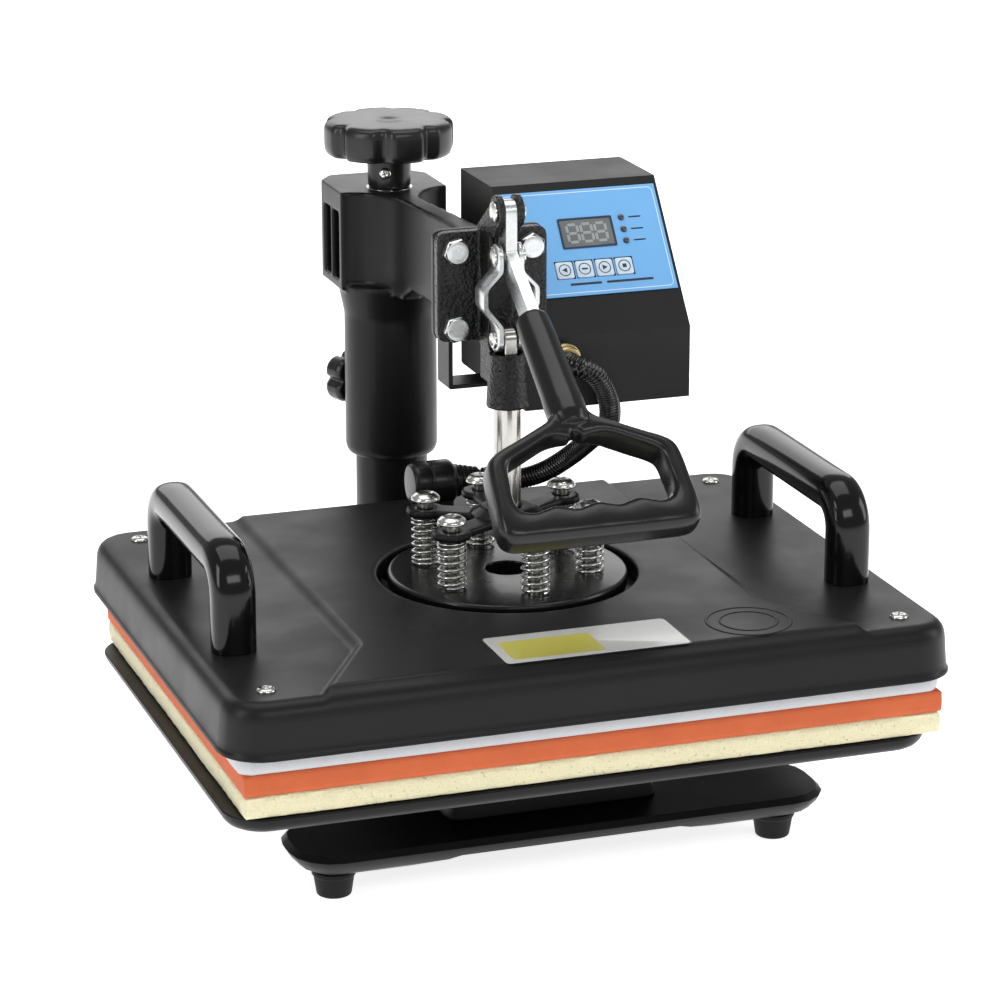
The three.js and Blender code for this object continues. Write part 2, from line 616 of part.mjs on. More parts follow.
// The looped hand grip, drawn pointing down and then leaned with the lever.
function handGrip() {
  const { neckTop, neckFull, neckEnd, topR, fullR, deep, bendAt } = GRIP;
  const outside = frontPrism(mirrored(LOOP_OUTSIDE).reverse(), -deep, deep);
  const inside = frontPrism(mirrored(LOOP_INSIDE).reverse(), -deep - CUT, deep + CUT);
  const loop = cut(outside, inside);
  loop.translate(0, 0, bendAt).rotateX(THREE.MathUtils.degToRad(GRIP.bend)).translate(0, 0, -bendAt);
  const profile = [[0, -neckEnd], [fullR, -neckEnd], [fullR, -neckFull], [topR, -neckTop], [0, -neckTop]];
  const neck = spun(profile, 28);
  const [x, y] = [LEVER.thick + GAP, LEVER.half + GAP];
  const slot = block(-x, x, -y, y, -LEVER.reach - GAP, -neckTop + CUT);
  const grip = cut(join(loop, neck), slot);
  grip.rotateX(THREE.MathUtils.degToRad(LEVER.lean - 90)).translate(0, 0, TOGGLE.elbow);
  return piece('hand_grip', grip, 'softBlack');
}

// ---------------------------------------------------------------- arm, guide and clamp bracket
// Everything here is drawn about the post's axis; the beam runs to the front.
function armCasting() {
  const sleeve = spun([[0, SLEEVE.bottom], [SLEEVE.r - SLEEVE.round, SLEEVE.bottom],
    [SLEEVE.r - 1.5, SLEEVE.bottom + 1.5], [SLEEVE.r, SLEEVE.bottom + SLEEVE.round],
    [SLEEVE.r, SLEEVE.top + CUT], [0, SLEEVE.top + CUT]], SLEEVE.sides);
  const waist = [];
  for (let i = 0; i <= HEAD.waistSteps; i += 1) {
    const turn = (Math.PI / 2) * (i / HEAD.waistSteps);
    const x = HEAD.halfSide - (HEAD.halfSide - BEAM.half) * Math.sin(turn);
    const y = BEAM.start + (HEAD.sideFront - BEAM.start) * Math.cos(turn);
    waist.push([x, y]);
  }
  const right = [[HEAD.halfBack, HEAD.backY], [HEAD.halfSide, HEAD.sideBack], ...waist];
  const left = right.map(([x, y]) => [-x, y]).reverse();
  const plan = [...right, ...left].reverse();
  const head = prism(plan, HEAD.bottom, HEAD.top);
  const skirt = drum(SLEEVE.r, HEAD.halfSide - 1, HEAD.bottom - HEAD.skirt, HEAD.bottom + 4, SLEEVE.sides);
  const underside = [
    [BEAM.start + 20, HEAD.top], [BEAM.end, BEAM.topEnd], [BEAM.end, BEAM.bottom],
    [BEAM.end + 30, BEAM.bottom + 1], [BEAM.start - 18, BEAM.bottom - 2], [BEAM.start + 4, HEAD.bottom],
    [BEAM.start + 20, HEAD.bottom],
  ];
  const beam = sidePrism(underside, -BEAM.half, BEAM.half);
  const plate = roundedPlate(FLANGE.half, FLANGE.bottom, FLANGE.top, FLANGE.corner,
    FLANGE.front - REACH, FLANGE.back - REACH);
  const bore = join(
    drum(SLEEVE.bore, SLEEVE.bore, SLEEVE.bottom - CUT, HEAD.roof, 32),
    drum(WASHER.hole, WASHER.hole, HEAD.roof - CUT, HEAD.top + CUT, 20),
  );
  const windows = [-1, 1].flatMap((side) => [-1, 1].map((row) => {
    const y = HEAD_WINDOW.y + row * HEAD_WINDOW.pitch;
    const through = block(HEAD_WINDOW.inner, HEAD.halfSide + CUT, y - HEAD_WINDOW.half, y + HEAD_WINDOW.half,
      HEAD_WINDOW.low, HEAD_WINDOW.high);
    return side > 0 ? through : through.rotateZ(Math.PI).translate(0, 2 * y, 0);
  }));
  const studTurn = THREE.MathUtils.degToRad(LOCK.angle - 90);
  const studBoss = bar(9, 18, 30, 20).rotateZ(studTurn).translate(0, 0, LOCK.z);
  const studHole = bar(LOCK.stud + GAP, 15, 40, 20).rotateZ(studTurn).translate(0, 0, LOCK.z);
  const boltHoles = boltPlaces().map(([x, z]) => bar(BOLT.shank + GAP, FLANGE.front - REACH - CUT,
    FLANGE.back - REACH + CUT, 20).translate(x, 0, z));
  const solid = join(sleeve, head, skirt, beam, plate, studBoss);
  const whole = cut(solid, bore, ...windows, studHole, ...boltHoles);
  return piece('arm_casting', whole, 'castBlack');
}

function boltPlaces() {
  return [[-BOLT.x, BOLT.low], [BOLT.x, BOLT.low], [-BOLT.x, BOLT.high], [BOLT.x, BOLT.high]];
}

// An upright plate in X and Z with rounded corners.
function roundedPlate(half, z0, z1, corner, y0, y1) {
  const middle = (z0 + z1) / 2;
  const outline = roundedOutline(half, (z1 - z0) / 2, corner, 3).map(([x, z]) => [x, z + middle]);
  return frontPrism(outline, y0, y1);
}

function clampBracket() {
  const plate = roundedPlate(PLATE.half, PLATE.bottom, PLATE.top, PLATE.corner, PLATE.front, PLATE.back);
  const web = block(-EAR.outer, EAR.outer, 11, PLATE.front + CUT, GUIDE.bottom + 10, PLATE.top);
  const cheek = sidePrism([
    [-2, TOGGLE.top - EAR.r], [PLATE.front + 2, 296], [PLATE.back, 300], [PLATE.back, PLATE.top + 2],
    [0, TOGGLE.top + EAR.r],
  ], -EAR.outer, EAR.outer);
  const crown = axle(EAR.r, -EAR.outer, EAR.outer, 28).translate(0, 0, TOGGLE.top);
  const guide = drum(GUIDE.low, GUIDE.high, GUIDE.bottom, GUIDE.top, 24);
  const neck = sidePrism([
    [0, GUIDE.bottom + 4], [PLATE.back, PLATE.bottom + 2], [PLATE.back, PLATE.bottom + 20],
    [11, GUIDE.top + 6], [11, GUIDE.top], [0, GUIDE.top],
  ], -EAR.outer, EAR.outer);
  const slot = block(-EAR.inner, EAR.inner, -30, 12, TOGGLE.elbow - 12, TOGGLE.top + EAR.r + CUT);
  const bore = drum(GUIDE.bore, GUIDE.bore, GUIDE.bottom - CUT, GUIDE.top + 60, 20);
  const pinHole = axle(TOGGLE.hole, -20, 20, 20).translate(0, 0, TOGGLE.top);
  const clear = block(-EAR.outer - CUT, EAR.outer + CUT, -30, 8.6, GUIDE.top, TOGGLE.elbow + 9);
  const boltHoles = boltPlaces().map(([x, z]) => (
    bar(BOLT.shank + GAP, PLATE.front - CUT, PLATE.back + CUT, 20).translate(x, 0, z)
  ));
  const solid = join(plate, web, cut(join(cheek, crown), slot), guide, neck);
  return piece('clamp_bracket', cut(solid, bore, pinHole, clear, ...boltHoles), 'wrinkleBlack');
}

function bracketBolt(name, x, z) {
  const head = prism(hexagon(BOLT.af), 0, BOLT.head).rotateX(Math.PI / 2).translate(0, PLATE.front - GAP, 0);
  const shank = bar(BOLT.shank, PLATE.front - 1, BOLT.end, 20);
  const mesh = piece(name, join(head, shank), 'zinc');
  mesh.position.set(x, 0, z);
  return mesh;
}

function pressureKnob() {
  const outline = scalloped(KNOB.r, KNOB.valley, KNOB.lobes);
  const { bottom, top } = KNOB;
  const cap = stacked([
    { outline: scaledOutline(outline, 0.96), z: bottom }, { outline, z: bottom + 3 },
    { outline, z: top - 6 }, { outline: scaledOutline(outline, 0.84), z: top },
  ]);
  const boss = drum(KNOB.boss, KNOB.boss, KNOB.bossBottom, bottom + 2, 28);
  const bore = drum(KNOB.bore, KNOB.bore, KNOB.bossBottom - CUT, SPINDLE.top + GAP, 24);
  return piece('pressure_knob', cut(join(cap, boss), bore), 'softBlack');
}

function pressureSpindle() {
  const profile = [
    [0, SPINDLE.bottom], [SPINDLE.r, SPINDLE.bottom], [SPINDLE.r, SPINDLE.collarBottom],
    [SPINDLE.collar, SPINDLE.collarBottom], [SPINDLE.collar, SPINDLE.collarTop],
    [SPINDLE.journal, SPINDLE.collarTop], [SPINDLE.journal, SPINDLE.top], [0, SPINDLE.top],
  ];
  return piece('pressure_spindle', spun(profile, 24), 'steel');
}

function thrustWasher() {
  const profile = [[WASHER.hole, WASHER.bottom], [WASHER.r, WASHER.bottom], [WASHER.r, WASHER.top],
    [WASHER.hole, WASHER.top]];
  return piece('thrust_washer', turned(profile, 28), 'brass');
}

// The star knob that locks the arm's height and swing, on its radial stud.
function lockKnob() {
  const outline = scalloped(LOCK.star, LOCK.star - 5, LOCK.lobes);
  const star = stacked([
    { outline: scaledOutline(outline, 0.9), z: LOCK.from }, { outline, z: LOCK.from + 3 },
    { outline, z: LOCK.to - 3 }, { outline: scaledOutline(outline, 0.86), z: LOCK.to },
  ]);
  const stud = drum(LOCK.stud, LOCK.stud, LOCK.studTip, LOCK.from + 2, 20);
  const knob = join(star, stud).rotateX(-Math.PI / 2);
  knob.rotateZ(THREE.MathUtils.degToRad(LOCK.angle - 90)).translate(0, 0, LOCK.z);
  return piece('lock_knob', knob, 'softBlack');
}

// ---------------------------------------------------------------- controller
// The sloping face's own frame: X stays, local Y runs up the slope and local Z points out of it.
function onSlope(...members) {
  const group = new THREE.Group();
  const rise = Math.atan2(BOX.top - BOX.crease, BOX.shelf - BOX.front);
  group.position.set(0, BOX.shelf, BOX.top);
  group.rotation.set(rise, 0, 0);
  group.add(...members);
  return group;
}

function boxProfile(inset, openBack) {
  const back = openBack ? BOX.back + CUT : BOX.back;
  return [
    [BOX.front + inset, BOX.bottom + inset], [back, BOX.bottom + inset], [back, BOX.top - inset],
    [BOX.shelf + inset * 0.55, BOX.top - inset], [BOX.front + inset, BOX.crease - inset * 0.55],
  ];
}

function slopeBlock(x0, x1, down0, down1, out0, out1) {
  return block(x0, x1, -down1, -down0, out0, out1);
}

function slopeToBox(geometry) {
  const rise = Math.atan2(BOX.top - BOX.crease, BOX.shelf - BOX.front);
  return geometry.rotateX(rise).translate(0, BOX.shelf, BOX.top);
}

function panelCuts(out0, out1, keyGap) {
  const screenCut = slopeBlock(SCREEN.left, SCREEN.left + SCREEN.width, PANEL.topMargin + SCREEN.down,
    PANEL.topMargin + SCREEN.down + SCREEN.height, out0, out1);
  const half = KEYS.side / 2 + keyGap;
  const down = PANEL.topMargin + KEYS.down;
  const keyCuts = KEYS.xs.map((x) => slopeBlock(x - half, x + half, down - half, down + half, out0, out1));
  const ledCuts = LEDS.downs.map((d) => drum(LEDS.r + 0.4, LEDS.r + 0.4, out0, out1, 12)
    .translate(LEDS.x, -PANEL.topMargin - d, 0));
  return [screenCut, ...keyCuts, ...ledCuts];
}

function controllerShell() {
  const outer = sidePrism(boxProfile(0, false), BOX.left, BOX.right);
  const inner = sidePrism(boxProfile(BOX.sheet, true), BOX.left + BOX.sheet, BOX.right - BOX.sheet);
  const openings = panelCuts(-6, 3, 0.5).map(slopeToBox);
  const glandHole = bar(GLAND.r - 2 + GAP, BOX.front - CUT, BOX.front + 6, 20).translate(GLAND.x, 0, GLAND.z);
  return piece('controller_shell', cut(outer, inner, ...openings, glandHole), 'boxBlack');
}

function controllerBackPlate() {
  const y0 = BOX.back + GAP;
  const sheet = block(BOX.left, BOX.right, y0, y0 + BOX.sheet, BOX.bottom, BOX.top);
  const hole = ({ x, z, width, height }) => block(x - width / 2 - GAP, x + width / 2 + GAP, y0 - CUT,
    y0 + BOX.sheet + CUT, z - height / 2 - GAP, z + height / 2 + GAP);
  return piece('controller_back_plate', cut(sheet, hole(INLET), hole(ROCKER)), 'boxBlack');
}

function mainsInlet() {
  const { x, z, width, height, depth } = INLET;
  const y0 = BOX.back + GAP;
  const face = y0 + BOX.sheet + GAP;
  const body = block(x - width / 2, x + width / 2, y0 - depth, face + CUT, z - height / 2, z + height / 2);
  const bezel = block(x - width / 2 - 9, x + width / 2 + 9, face, face + 2,
    z - height / 2 - 2, z + height / 2 + 2);
  const well = block(x - width / 2 + 2, x + width / 2 - 2, face - 15, face + 3,
    z - height / 2 + 2, z + height / 2 - 2);
  const blades = [[-7, 3], [0, -3], [7, 3]].map(([dx, dz]) => (
    block(x + dx - 1, x + dx + 1, face - 16, face - 2, z - dz - 3, z - dz + 3)
  ));
  return piece('mains_inlet', join(cut(join(body, bezel), well), ...blades), 'glossBlack');
}

function powerRocker() {
  const { x, z, width, height, depth, tilt } = ROCKER;
  const half = height / 2;
  const profile = [[-depth, 3], [-depth, -3], [4.6, -half], [3.2, 0], [4.6, half]];
  const rocker = sidePrism(profile, x - width / 2, x + width / 2).rotateX(THREE.MathUtils.degToRad(tilt));
  return piece('power_rocker', rocker.translate(0, BOX.back + GAP, z), 'glossBlack');
}

function panelOverlay() {
  const left = BOX.left + PANEL.margin;
  const sheet = slopeBlock(left, left + PANEL.width, PANEL.topMargin, PANEL.topMargin + PANEL.height,
    GAP, GAP + PANEL.sheet);
  return piece('panel_overlay', cut(sheet, ...panelCuts(0, 3, 0.5)), 'blue');
}

// The circuit board with its display and lamps, which stand up to the face.
function controlBoard() {
  const { depth, thick, left, right, down, height } = BOARD;
  const board = slopeBlock(left, right, down, down + height, -depth - thick, -depth);
  const y0 = PANEL.topMargin + SCREEN.down;
  const display = slopeBlock(SCREEN.left + GAP, SCREEN.left + SCREEN.width - GAP, y0 + GAP,
    y0 + SCREEN.height - GAP, -depth - CUT, 0.2);
  const lamps = LEDS.downs.map((d) => drum(LEDS.r, LEDS.r, -depth - CUT, 1.1, 12)
    .translate(LEDS.x, -PANEL.topMargin - d, 0));
  return piece('control_board', join(board, display, ...lamps), 'green');
}

function panelKey(name, x) {
  const down = PANEL.topMargin + KEYS.down;
  const half = KEYS.side / 2;
  const cap = slopeBlock(x - half, x + half, down - half, down + half, -4, KEYS.proud);
  const rim = slopeBlock(x - half - 0.7, x + half + 0.7, down - half - 1.5, down + half + 1.5,
    -4, -BOX.sheet - KEYS.travelGap);
  return piece(name, join(cap, rim), 'white');
}

// A bent flat strap from the beam's side, under it, and up the controller's left wall.
function controllerStrap() {
  const { out, width, yMid, sheet, bottom, legTop, boxLegTop } = STRAP;
  const boxLeg = BOX.left - GAP;
  const corners = [
    [out, bottom + 1], [out + 1, bottom], [boxLeg - 1, bottom], [boxLeg, bottom + 1], [boxLeg, boxLegTop],
    [boxLeg - sheet, boxLegTop], [boxLeg - sheet, bottom + sheet], [out + sheet, bottom + sheet],
    [out + sheet, legTop], [out, legTop],
  ];
  return piece('controller_strap', frontPrism(corners, yMid - width / 2, yMid + width / 2), 'boxBlack');
}

function cableGland() {
  const front = BOX.front - GAP;
  const nut = prism(hexagon(GLAND.r * 2), 0, 5).rotateX(Math.PI / 2).translate(0, front, 0);
  const barrel = bar(GLAND.r - 1, front - GLAND.length, front - 4, 24);
  const thread = bar(GLAND.r - 2, front - 1, front + 8, 20);
  const mesh = piece('cable_gland', join(nut, barrel, thread), 'brass');
  mesh.position.set(GLAND.x, 0, GLAND.z);
  return mesh;
}

// The corrugated conduit from the controller's gland down to the heater plug.
function heaterConduit() {
  const route = new THREE.CatmullRomCurve3(CONDUIT_ROUTE.map(([x, y, z]) => new THREE.Vector3(x, y, z)));
  const { r, sides, steps } = CONDUIT;
  return piece('heater_conduit', swept(route, r, r, sides, steps), 'softBlack');
}

// ---------------------------------------------------------------- assembly
function springSet() {
  const places = screwPlaces();
  return places.flatMap(([x, y], i) => [
    springScrew(`spring_screw_${i + 1}`, x, y),
    springCoil(`spring_${i + 1}`, x, y),
  ]);
}

const press = new THREE.Group();
press.add(groupAt(PLATEN.y,
  baseFrame(),
  ...footPlaces().map(([name, x, y]) => foot(name, x, y)),
  lowerTable(),
  ...lowerPads(),
  heatCover(),
  heatingPlate(),
  releaseFilm(),
  springDisc(),
  ...springSet(),
  sideHandle('side_handle_left', -HANDLE.x),
  sideHandle('side_handle_right', HANDLE.x),
  heaterConnector(),
  plungerRod(),
  spiderPlate(),
  leverBar(),
  handGrip(),
  headedPin('link_pin', TOGGLE.elbow, LINK.inner + LINK.sheet + GAP, 5.2),
  linkStrap('link_left', -1),
  linkStrap('link_right', 1),
  clampBracket(),
  headedPin('upper_pivot_pin', TOGGLE.top, EAR.outer + GAP, 5.6),
  ...boltPlaces().map(([x, z], i) => bracketBolt(`bracket_bolt_${i + 1}`, x, z)),
  controllerShell(),
  controllerBackPlate(),
  mainsInlet(),
  powerRocker(),
  controllerStrap(),
  cableGland(),
  heaterConduit(),
  onSlope(
    panelOverlay(),
    controlBoard(),
    ...KEYS.xs.map((x, i) => panelKey(`panel_key_${i + 1}`, x)),
  ),
));
press.add(groupAt(POST_Y,
  postTube(),
  postNut(),
  armCasting(),
  pressureSpindle(),
  pressureKnob(),
  thrustWasher(),
  lockKnob(),
));

export default press;
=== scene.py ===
"""A swing-away heat press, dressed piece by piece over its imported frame.

Sizes are in millimetres in the frame's own axes: +Z up, -Y towards the operator,
with the platen's centre at y = -53 and the post at y = +154.
"""

from __future__ import annotations

import logging
import math
from dataclasses import dataclass
from enum import Enum
from typing import Callable, Sequence

import bpy
import numpy as np
from mathutils import Matrix, Vector


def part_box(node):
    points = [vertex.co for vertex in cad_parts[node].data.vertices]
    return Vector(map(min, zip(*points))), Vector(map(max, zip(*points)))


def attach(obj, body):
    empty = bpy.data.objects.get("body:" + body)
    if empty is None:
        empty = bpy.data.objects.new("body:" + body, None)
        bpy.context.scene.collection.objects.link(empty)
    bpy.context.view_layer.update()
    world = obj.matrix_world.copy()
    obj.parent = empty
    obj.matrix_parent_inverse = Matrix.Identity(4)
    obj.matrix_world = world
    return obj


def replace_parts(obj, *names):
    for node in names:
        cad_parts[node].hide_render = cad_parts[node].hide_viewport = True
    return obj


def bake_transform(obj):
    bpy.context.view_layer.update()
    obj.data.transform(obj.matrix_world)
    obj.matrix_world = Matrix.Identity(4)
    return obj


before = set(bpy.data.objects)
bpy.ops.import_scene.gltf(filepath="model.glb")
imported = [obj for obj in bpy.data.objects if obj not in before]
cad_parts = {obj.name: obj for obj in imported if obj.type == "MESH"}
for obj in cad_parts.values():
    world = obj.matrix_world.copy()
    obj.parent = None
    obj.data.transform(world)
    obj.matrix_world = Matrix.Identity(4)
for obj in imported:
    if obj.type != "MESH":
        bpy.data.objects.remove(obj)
log = logging.getLogger("heat_press")

MM = 0.001
HOLLOW_REACH = 0.24
Point = Sequence[float]


class Body(str, Enum):
    """The rigid bodies that pieces ride on."""

    BASE = "base"
    WASHER = "thrust_washer"
    KNOB = "knob"
    ARM = "arm"
    LOCK = "lock_knob"
    ROCKER = "rocker"
    LEVER = "lever"
    LINK = "link"
    PLATEN = "platen"
    PLUNGER = "plunger"


class Grain(Enum):
    """How a surface is broken up close to."""

    ORANGE_PEEL = "orange_peel"
    SANDED = "sanded"
    WRINKLED = "wrinkled"
    MOULDED = "moulded"


# ------------------------------------------------------------------ finishes
class Recipe:
    """One material under construction: a surface shader and the nodes that feed it."""

    def __init__(self, name: str, colour: Point, roughness: float, metallic: float = 0.0) -> None:
        """Starts a material.

        Args:
            name: The material's name.
            colour: Linear red, green and blue.
            roughness: The surface's roughness before any variation.
            metallic: 1 for bare metal, 0 for paint, plastic and cloth.
        """
        self.material = bpy.data.materials.new(name)
        self.material.use_nodes = True
        self.tree = self.material.node_tree
        self.surface = self.tree.nodes["Principled BSDF"]
        self.set("Base Color", (*colour, 1.0))
        self.set("Roughness", roughness)
        self.set("Metallic", metallic)
        self.material.diffuse_color = (*colour, 1.0)

    def set(self, socket: str, value: object) -> None:
        """Sets a constant straight on the surface shader."""
        self.surface.inputs[socket].default_value = value

    def node(self, kind: str, **values: object) -> bpy.types.Node:
        """Adds a node.

        Args:
            kind: The node's type, without its ShaderNode prefix.
            **values: Input sockets to set, with underscores for spaces.

        Returns:
            The new node.
        """
        made = self.tree.nodes.new("ShaderNode" + kind)
        for name, value in values.items():
            made.inputs[name.replace("_", " ")].default_value = value
        return made

    def join(self, source: bpy.types.NodeSocket, target: bpy.types.NodeSocket) -> None:
        """Links two sockets."""
        self.tree.links.new(source, target)

    def place(self, stretch: Point = (1, 1, 1)) -> bpy.types.NodeSocket:
        """Gives object coordinates in metres, stretched along each axis.

        Args:
            stretch: Scale along each axis.

        Returns:
            The coordinates.
        """
        coordinates = self.node("TexCoord")
        mapping = self.node("Mapping", Scale=tuple(stretch))
        self.join(coordinates.outputs["Object"], mapping.inputs["Vector"])
        return mapping.outputs["Vector"]

    def noise(self, scale: float, detail: float = 4.0, roughness: float = 0.55,
              stretch: Point = (1, 1, 1)) -> bpy.types.NodeSocket:
        """Gives cloudy noise.

        Args:
            scale: Cells per metre.
            detail: Octaves.
            roughness: How strong the fine octaves are.
            stretch: Scale along each axis.

        Returns:
            The noise's factor socket.
        """
        cloud = self.node("TexNoise", Scale=scale, Detail=detail, Roughness=roughness)
        self.join(self.place(stretch), cloud.inputs["Vector"])
        return cloud.outputs["Fac"]

    def cells(self, scale: float) -> bpy.types.NodeSocket:
        """Gives the distance to the nearest of scattered points, per metre.

        Args:
            scale: Cells per metre.

        Returns:
            The distance.
        """
        web = self.node("TexVoronoi", Scale=scale)
        self.join(self.place(), web.inputs["Vector"])
        return web.outputs["Distance"]

    def band(self, source: bpy.types.NodeSocket, low: float, high: float,
             start: float, end: float) -> bpy.types.NodeSocket:
        """Maps a factor from one range to another.

        Args:
            source: The factor.
            low: The factor that gives start.
            high: The factor that gives end.
            start: The result at low.
            end: The result at high.

        Returns:
            The mapped value.
        """
        ramp = self.node("MapRange")
        for socket, value in zip(("From Min", "From Max", "To Min", "To Max"), (low, high, start, end)):
            ramp.inputs[socket].default_value = value
        self.join(source, ramp.inputs["Value"])
        return ramp.outputs["Result"]

    def blend_colour(self, factor: bpy.types.NodeSocket, first: Point, second: Point) -> bpy.types.NodeSocket:
        """Mixes two colours.

        Args:
            factor: 0 for the first, 1 for the second.
            first: The first colour.
            second: The second colour.

        Returns:
            The mixed colour.
        """
        mix = self.node("Mix")
        mix.data_type = "RGBA"
        mix.inputs[6].default_value = (*first, 1.0)
        mix.inputs[7].default_value = (*second, 1.0)
        self.join(factor, mix.inputs[0])
        return mix.outputs[2]

    def layer_colour(self, under: bpy.types.NodeSocket, factor: bpy.types.NodeSocket,
                     over: Point) -> bpy.types.NodeSocket:
        """Lays a flat colour over a varying one.

        Args:
            under: The colour beneath.
            factor: How far the flat colour covers it.
            over: The flat colour.

        Returns:
            The covered colour.
        """
        mix = self.node("Mix")
        mix.data_type = "RGBA"
        mix.inputs[7].default_value = (*over, 1.0)
        self.join(under, mix.inputs[6])
        self.join(factor, mix.inputs[0])
        return mix.outputs[2]

    def feed(self, socket: str, source: bpy.types.NodeSocket) -> None:
        """Links a varying value to the surface shader."""
        self.join(source, self.surface.inputs[socket])

    def relief(self, height: bpy.types.NodeSocket, strength: float, depth_mm: float) -> None:
        """Adds a bump, on top of any that is there already.

        Args:
            height: The height's factor.
            strength: From 0 to 1.
            depth_mm: How deep the relief is.
        """
        bump = self.node("Bump", Strength=strength, Distance=depth_mm * MM)
        self.join(height, bump.inputs["Height"])
        normal = self.surface.inputs["Normal"]
        if normal.is_linked:
            self.join(normal.links[0].from_socket, bump.inputs["Normal"])
        self.join(bump.outputs["Normal"], normal)


@dataclass(frozen=True)
class Paint:
    """Black powder coat or enamel over metal, or a moulded black plastic."""

    name: str
    colour: tuple[float, float, float]
    roughness: float
    grain: Grain = Grain.ORANGE_PEEL
    coat: float = 0.0
    dust: float = 0.0
    shine: float = 0.26

    def build(self) -> bpy.types.Material:
        """Makes the material.

        Returns:
            The paint, with its grain, patchy gloss and a little dust.
        """
        recipe = Recipe(self.name, self.colour, self.roughness)
        recipe.set("Specular IOR Level", self.shine)
        recipe.set("Coat Weight", self.coat)
        recipe.set("Coat Roughness", 0.08)
        patches = recipe.noise(28, 3)
        recipe.feed("Roughness", recipe.band(patches, 0.3, 0.7, self.roughness * 0.9, self.roughness * 1.12))
        lighter = tuple(c * 1.35 + 0.002 for c in self.colour)
        tone = recipe.blend_colour(recipe.noise(11, 5), self.colour, lighter)
        if self.dust > 0:
            specks = recipe.band(recipe.cells(420), 0.0, 0.075, self.dust, 0.0)
            tone = recipe.layer_colour(tone, specks, (0.32, 0.32, 0.31))
        recipe.feed("Base Color", tone)
        self.add_grain(recipe)
        return recipe.material

    def add_grain(self, recipe: Recipe) -> None:
        """Adds the relief that the grain calls for.

        Args:
            recipe: The paint's recipe.
        """
        if self.grain is Grain.WRINKLED:
            recipe.relief(recipe.noise(430, 2, 0.5), 1.0, 1.1)
            recipe.relief(recipe.cells(640), 0.6, 0.5)
        elif self.grain is Grain.SANDED:
            recipe.relief(recipe.noise(1500, 2, 0.6), 0.16, 0.12)
        elif self.grain is Grain.MOULDED:
            recipe.relief(recipe.noise(240, 2, 0.4), 0.07, 0.18)
        else:
            recipe.relief(recipe.noise(520, 2, 0.45), 0.1, 0.14)


@dataclass(frozen=True)
class Metal:
    """Bare or plated metal with fine scratches and a few dents."""

    name: str
    colour: tuple[float, float, float]
    roughness: float
    stretch: tuple[float, float, float] = (1.0, 1.0, 1.0)
    dents: float = 0.0
    tarnish: tuple[float, float, float] = (0.3, 0.3, 0.3)

    def build(self) -> bpy.types.Material:
        """Makes the material.

        Returns:
            The metal, with streaks along its grain and dulled patches.
        """
        recipe = Recipe(self.name, self.colour, self.roughness, 1.0)
        streaks = recipe.noise(700, 4, 0.6, self.stretch)
        patches = recipe.noise(90, 4)
        recipe.feed("Roughness", recipe.band(streaks, 0.25, 0.75, self.roughness * 0.7,
                                             self.roughness * 1.45))
        dulled = recipe.band(patches, 0.5, 0.8, 0.0, 0.55)
        recipe.feed("Base Color", recipe.blend_colour(dulled, self.colour, self.tarnish))
        recipe.relief(streaks, 0.08, 0.05)
        if self.dents > 0:
            recipe.relief(recipe.noise(210, 3, 0.6), self.dents, 0.5)
        return recipe.material


@dataclass(frozen=True)
class Foam:
    """Silicone foam sheet: a fine closed skin on the faces and open pores on the cut edge."""

    name: str
    colour: tuple[float, float, float]
    shade: tuple[float, float, float]

    def build(self) -> bpy.types.Material:
        """Makes the material.

        Returns:
            The foam, uneven in colour and open in its pores, with painted shade darkening each pore's pit.
        """
        recipe = Recipe(self.name, self.colour, 0.72)
        recipe.set("Subsurface Weight", 0.08)
        recipe.set("Subsurface Scale", 0.002)
        pores = recipe.cells(1400)
        tone = recipe.blend_colour(recipe.noise(60, 5, 0.6), self.colour, self.shade)
        # Painted shade: each pore's pit is darkened towards the shade colour.
        recipe.feed("Base Color", recipe.layer_colour(tone, recipe.band(pores, 0.0, 0.25, 0.35, 0.0),
                                                      self.shade))
        recipe.relief(pores, 0.35, 0.25)
        recipe.relief(recipe.noise(300, 3), 0.25, 0.3)
        return recipe.material


@dataclass(frozen=True)
class Felt:
    """Pressed fibre felt with loose hairs and dark flecks along its cut edge."""

    name: str
    colour: tuple[float, float, float]
    shade: tuple[float, float, float]
    fleck: tuple[float, float, float]

    def build(self) -> bpy.types.Material:
        """Makes the material.

        Returns:
            The felt, with fibres, flecks and a soft sheen.
        """
        recipe = Recipe(self.name, self.colour, 0.95)
        recipe.set("Sheen Weight", 0.35)
        recipe.set("Sheen Roughness", 0.6)
        fibres = recipe.noise(900, 5, 0.7, (1.0, 1.0, 2.6))
        tone = recipe.blend_colour(recipe.band(fibres, 0.35, 0.7, 0.0, 1.0), self.shade, self.colour)
        flecks = recipe.band(recipe.noise(520, 2, 0.3), 0.68, 0.74, 0.0, 0.4)
        recipe.feed("Base Color", recipe.layer_colour(tone, flecks, self.fleck))
        recipe.relief(fibres, 0.8, 0.9)
        recipe.relief(recipe.noise(120, 4), 0.75, 2.2)
        return recipe.material


@dataclass(frozen=True)
class Skin:
    """A thin woven film with a coated face."""

    name: str
    colour: tuple[float, float, float]
    shade: tuple[float, float, float]

    def build(self) -> bpy.types.Material:
        """Makes the material.

        Returns:
            The film, with a fine weave and soft creases.
        """
        recipe = Recipe(self.name, self.colour, 0.42)
        recipe.set("Subsurface Weight", 0.1)
        recipe.set("Subsurface Scale", 0.003)
        recipe.feed("Base Color", recipe.blend_colour(recipe.noise(35, 5, 0.6), self.colour, self.shade))
        recipe.relief(recipe.noise(80, 5, 0.65, (1.0, 1.0, 0.4)), 0.7, 2.4)
        weave = recipe.node("TexWave", Scale=900.0, Distortion=0.6)
        recipe.join(recipe.place(), weave.inputs["Vector"])
        recipe.relief(weave.outputs["Fac"], 0.06, 0.05)
        return recipe.material


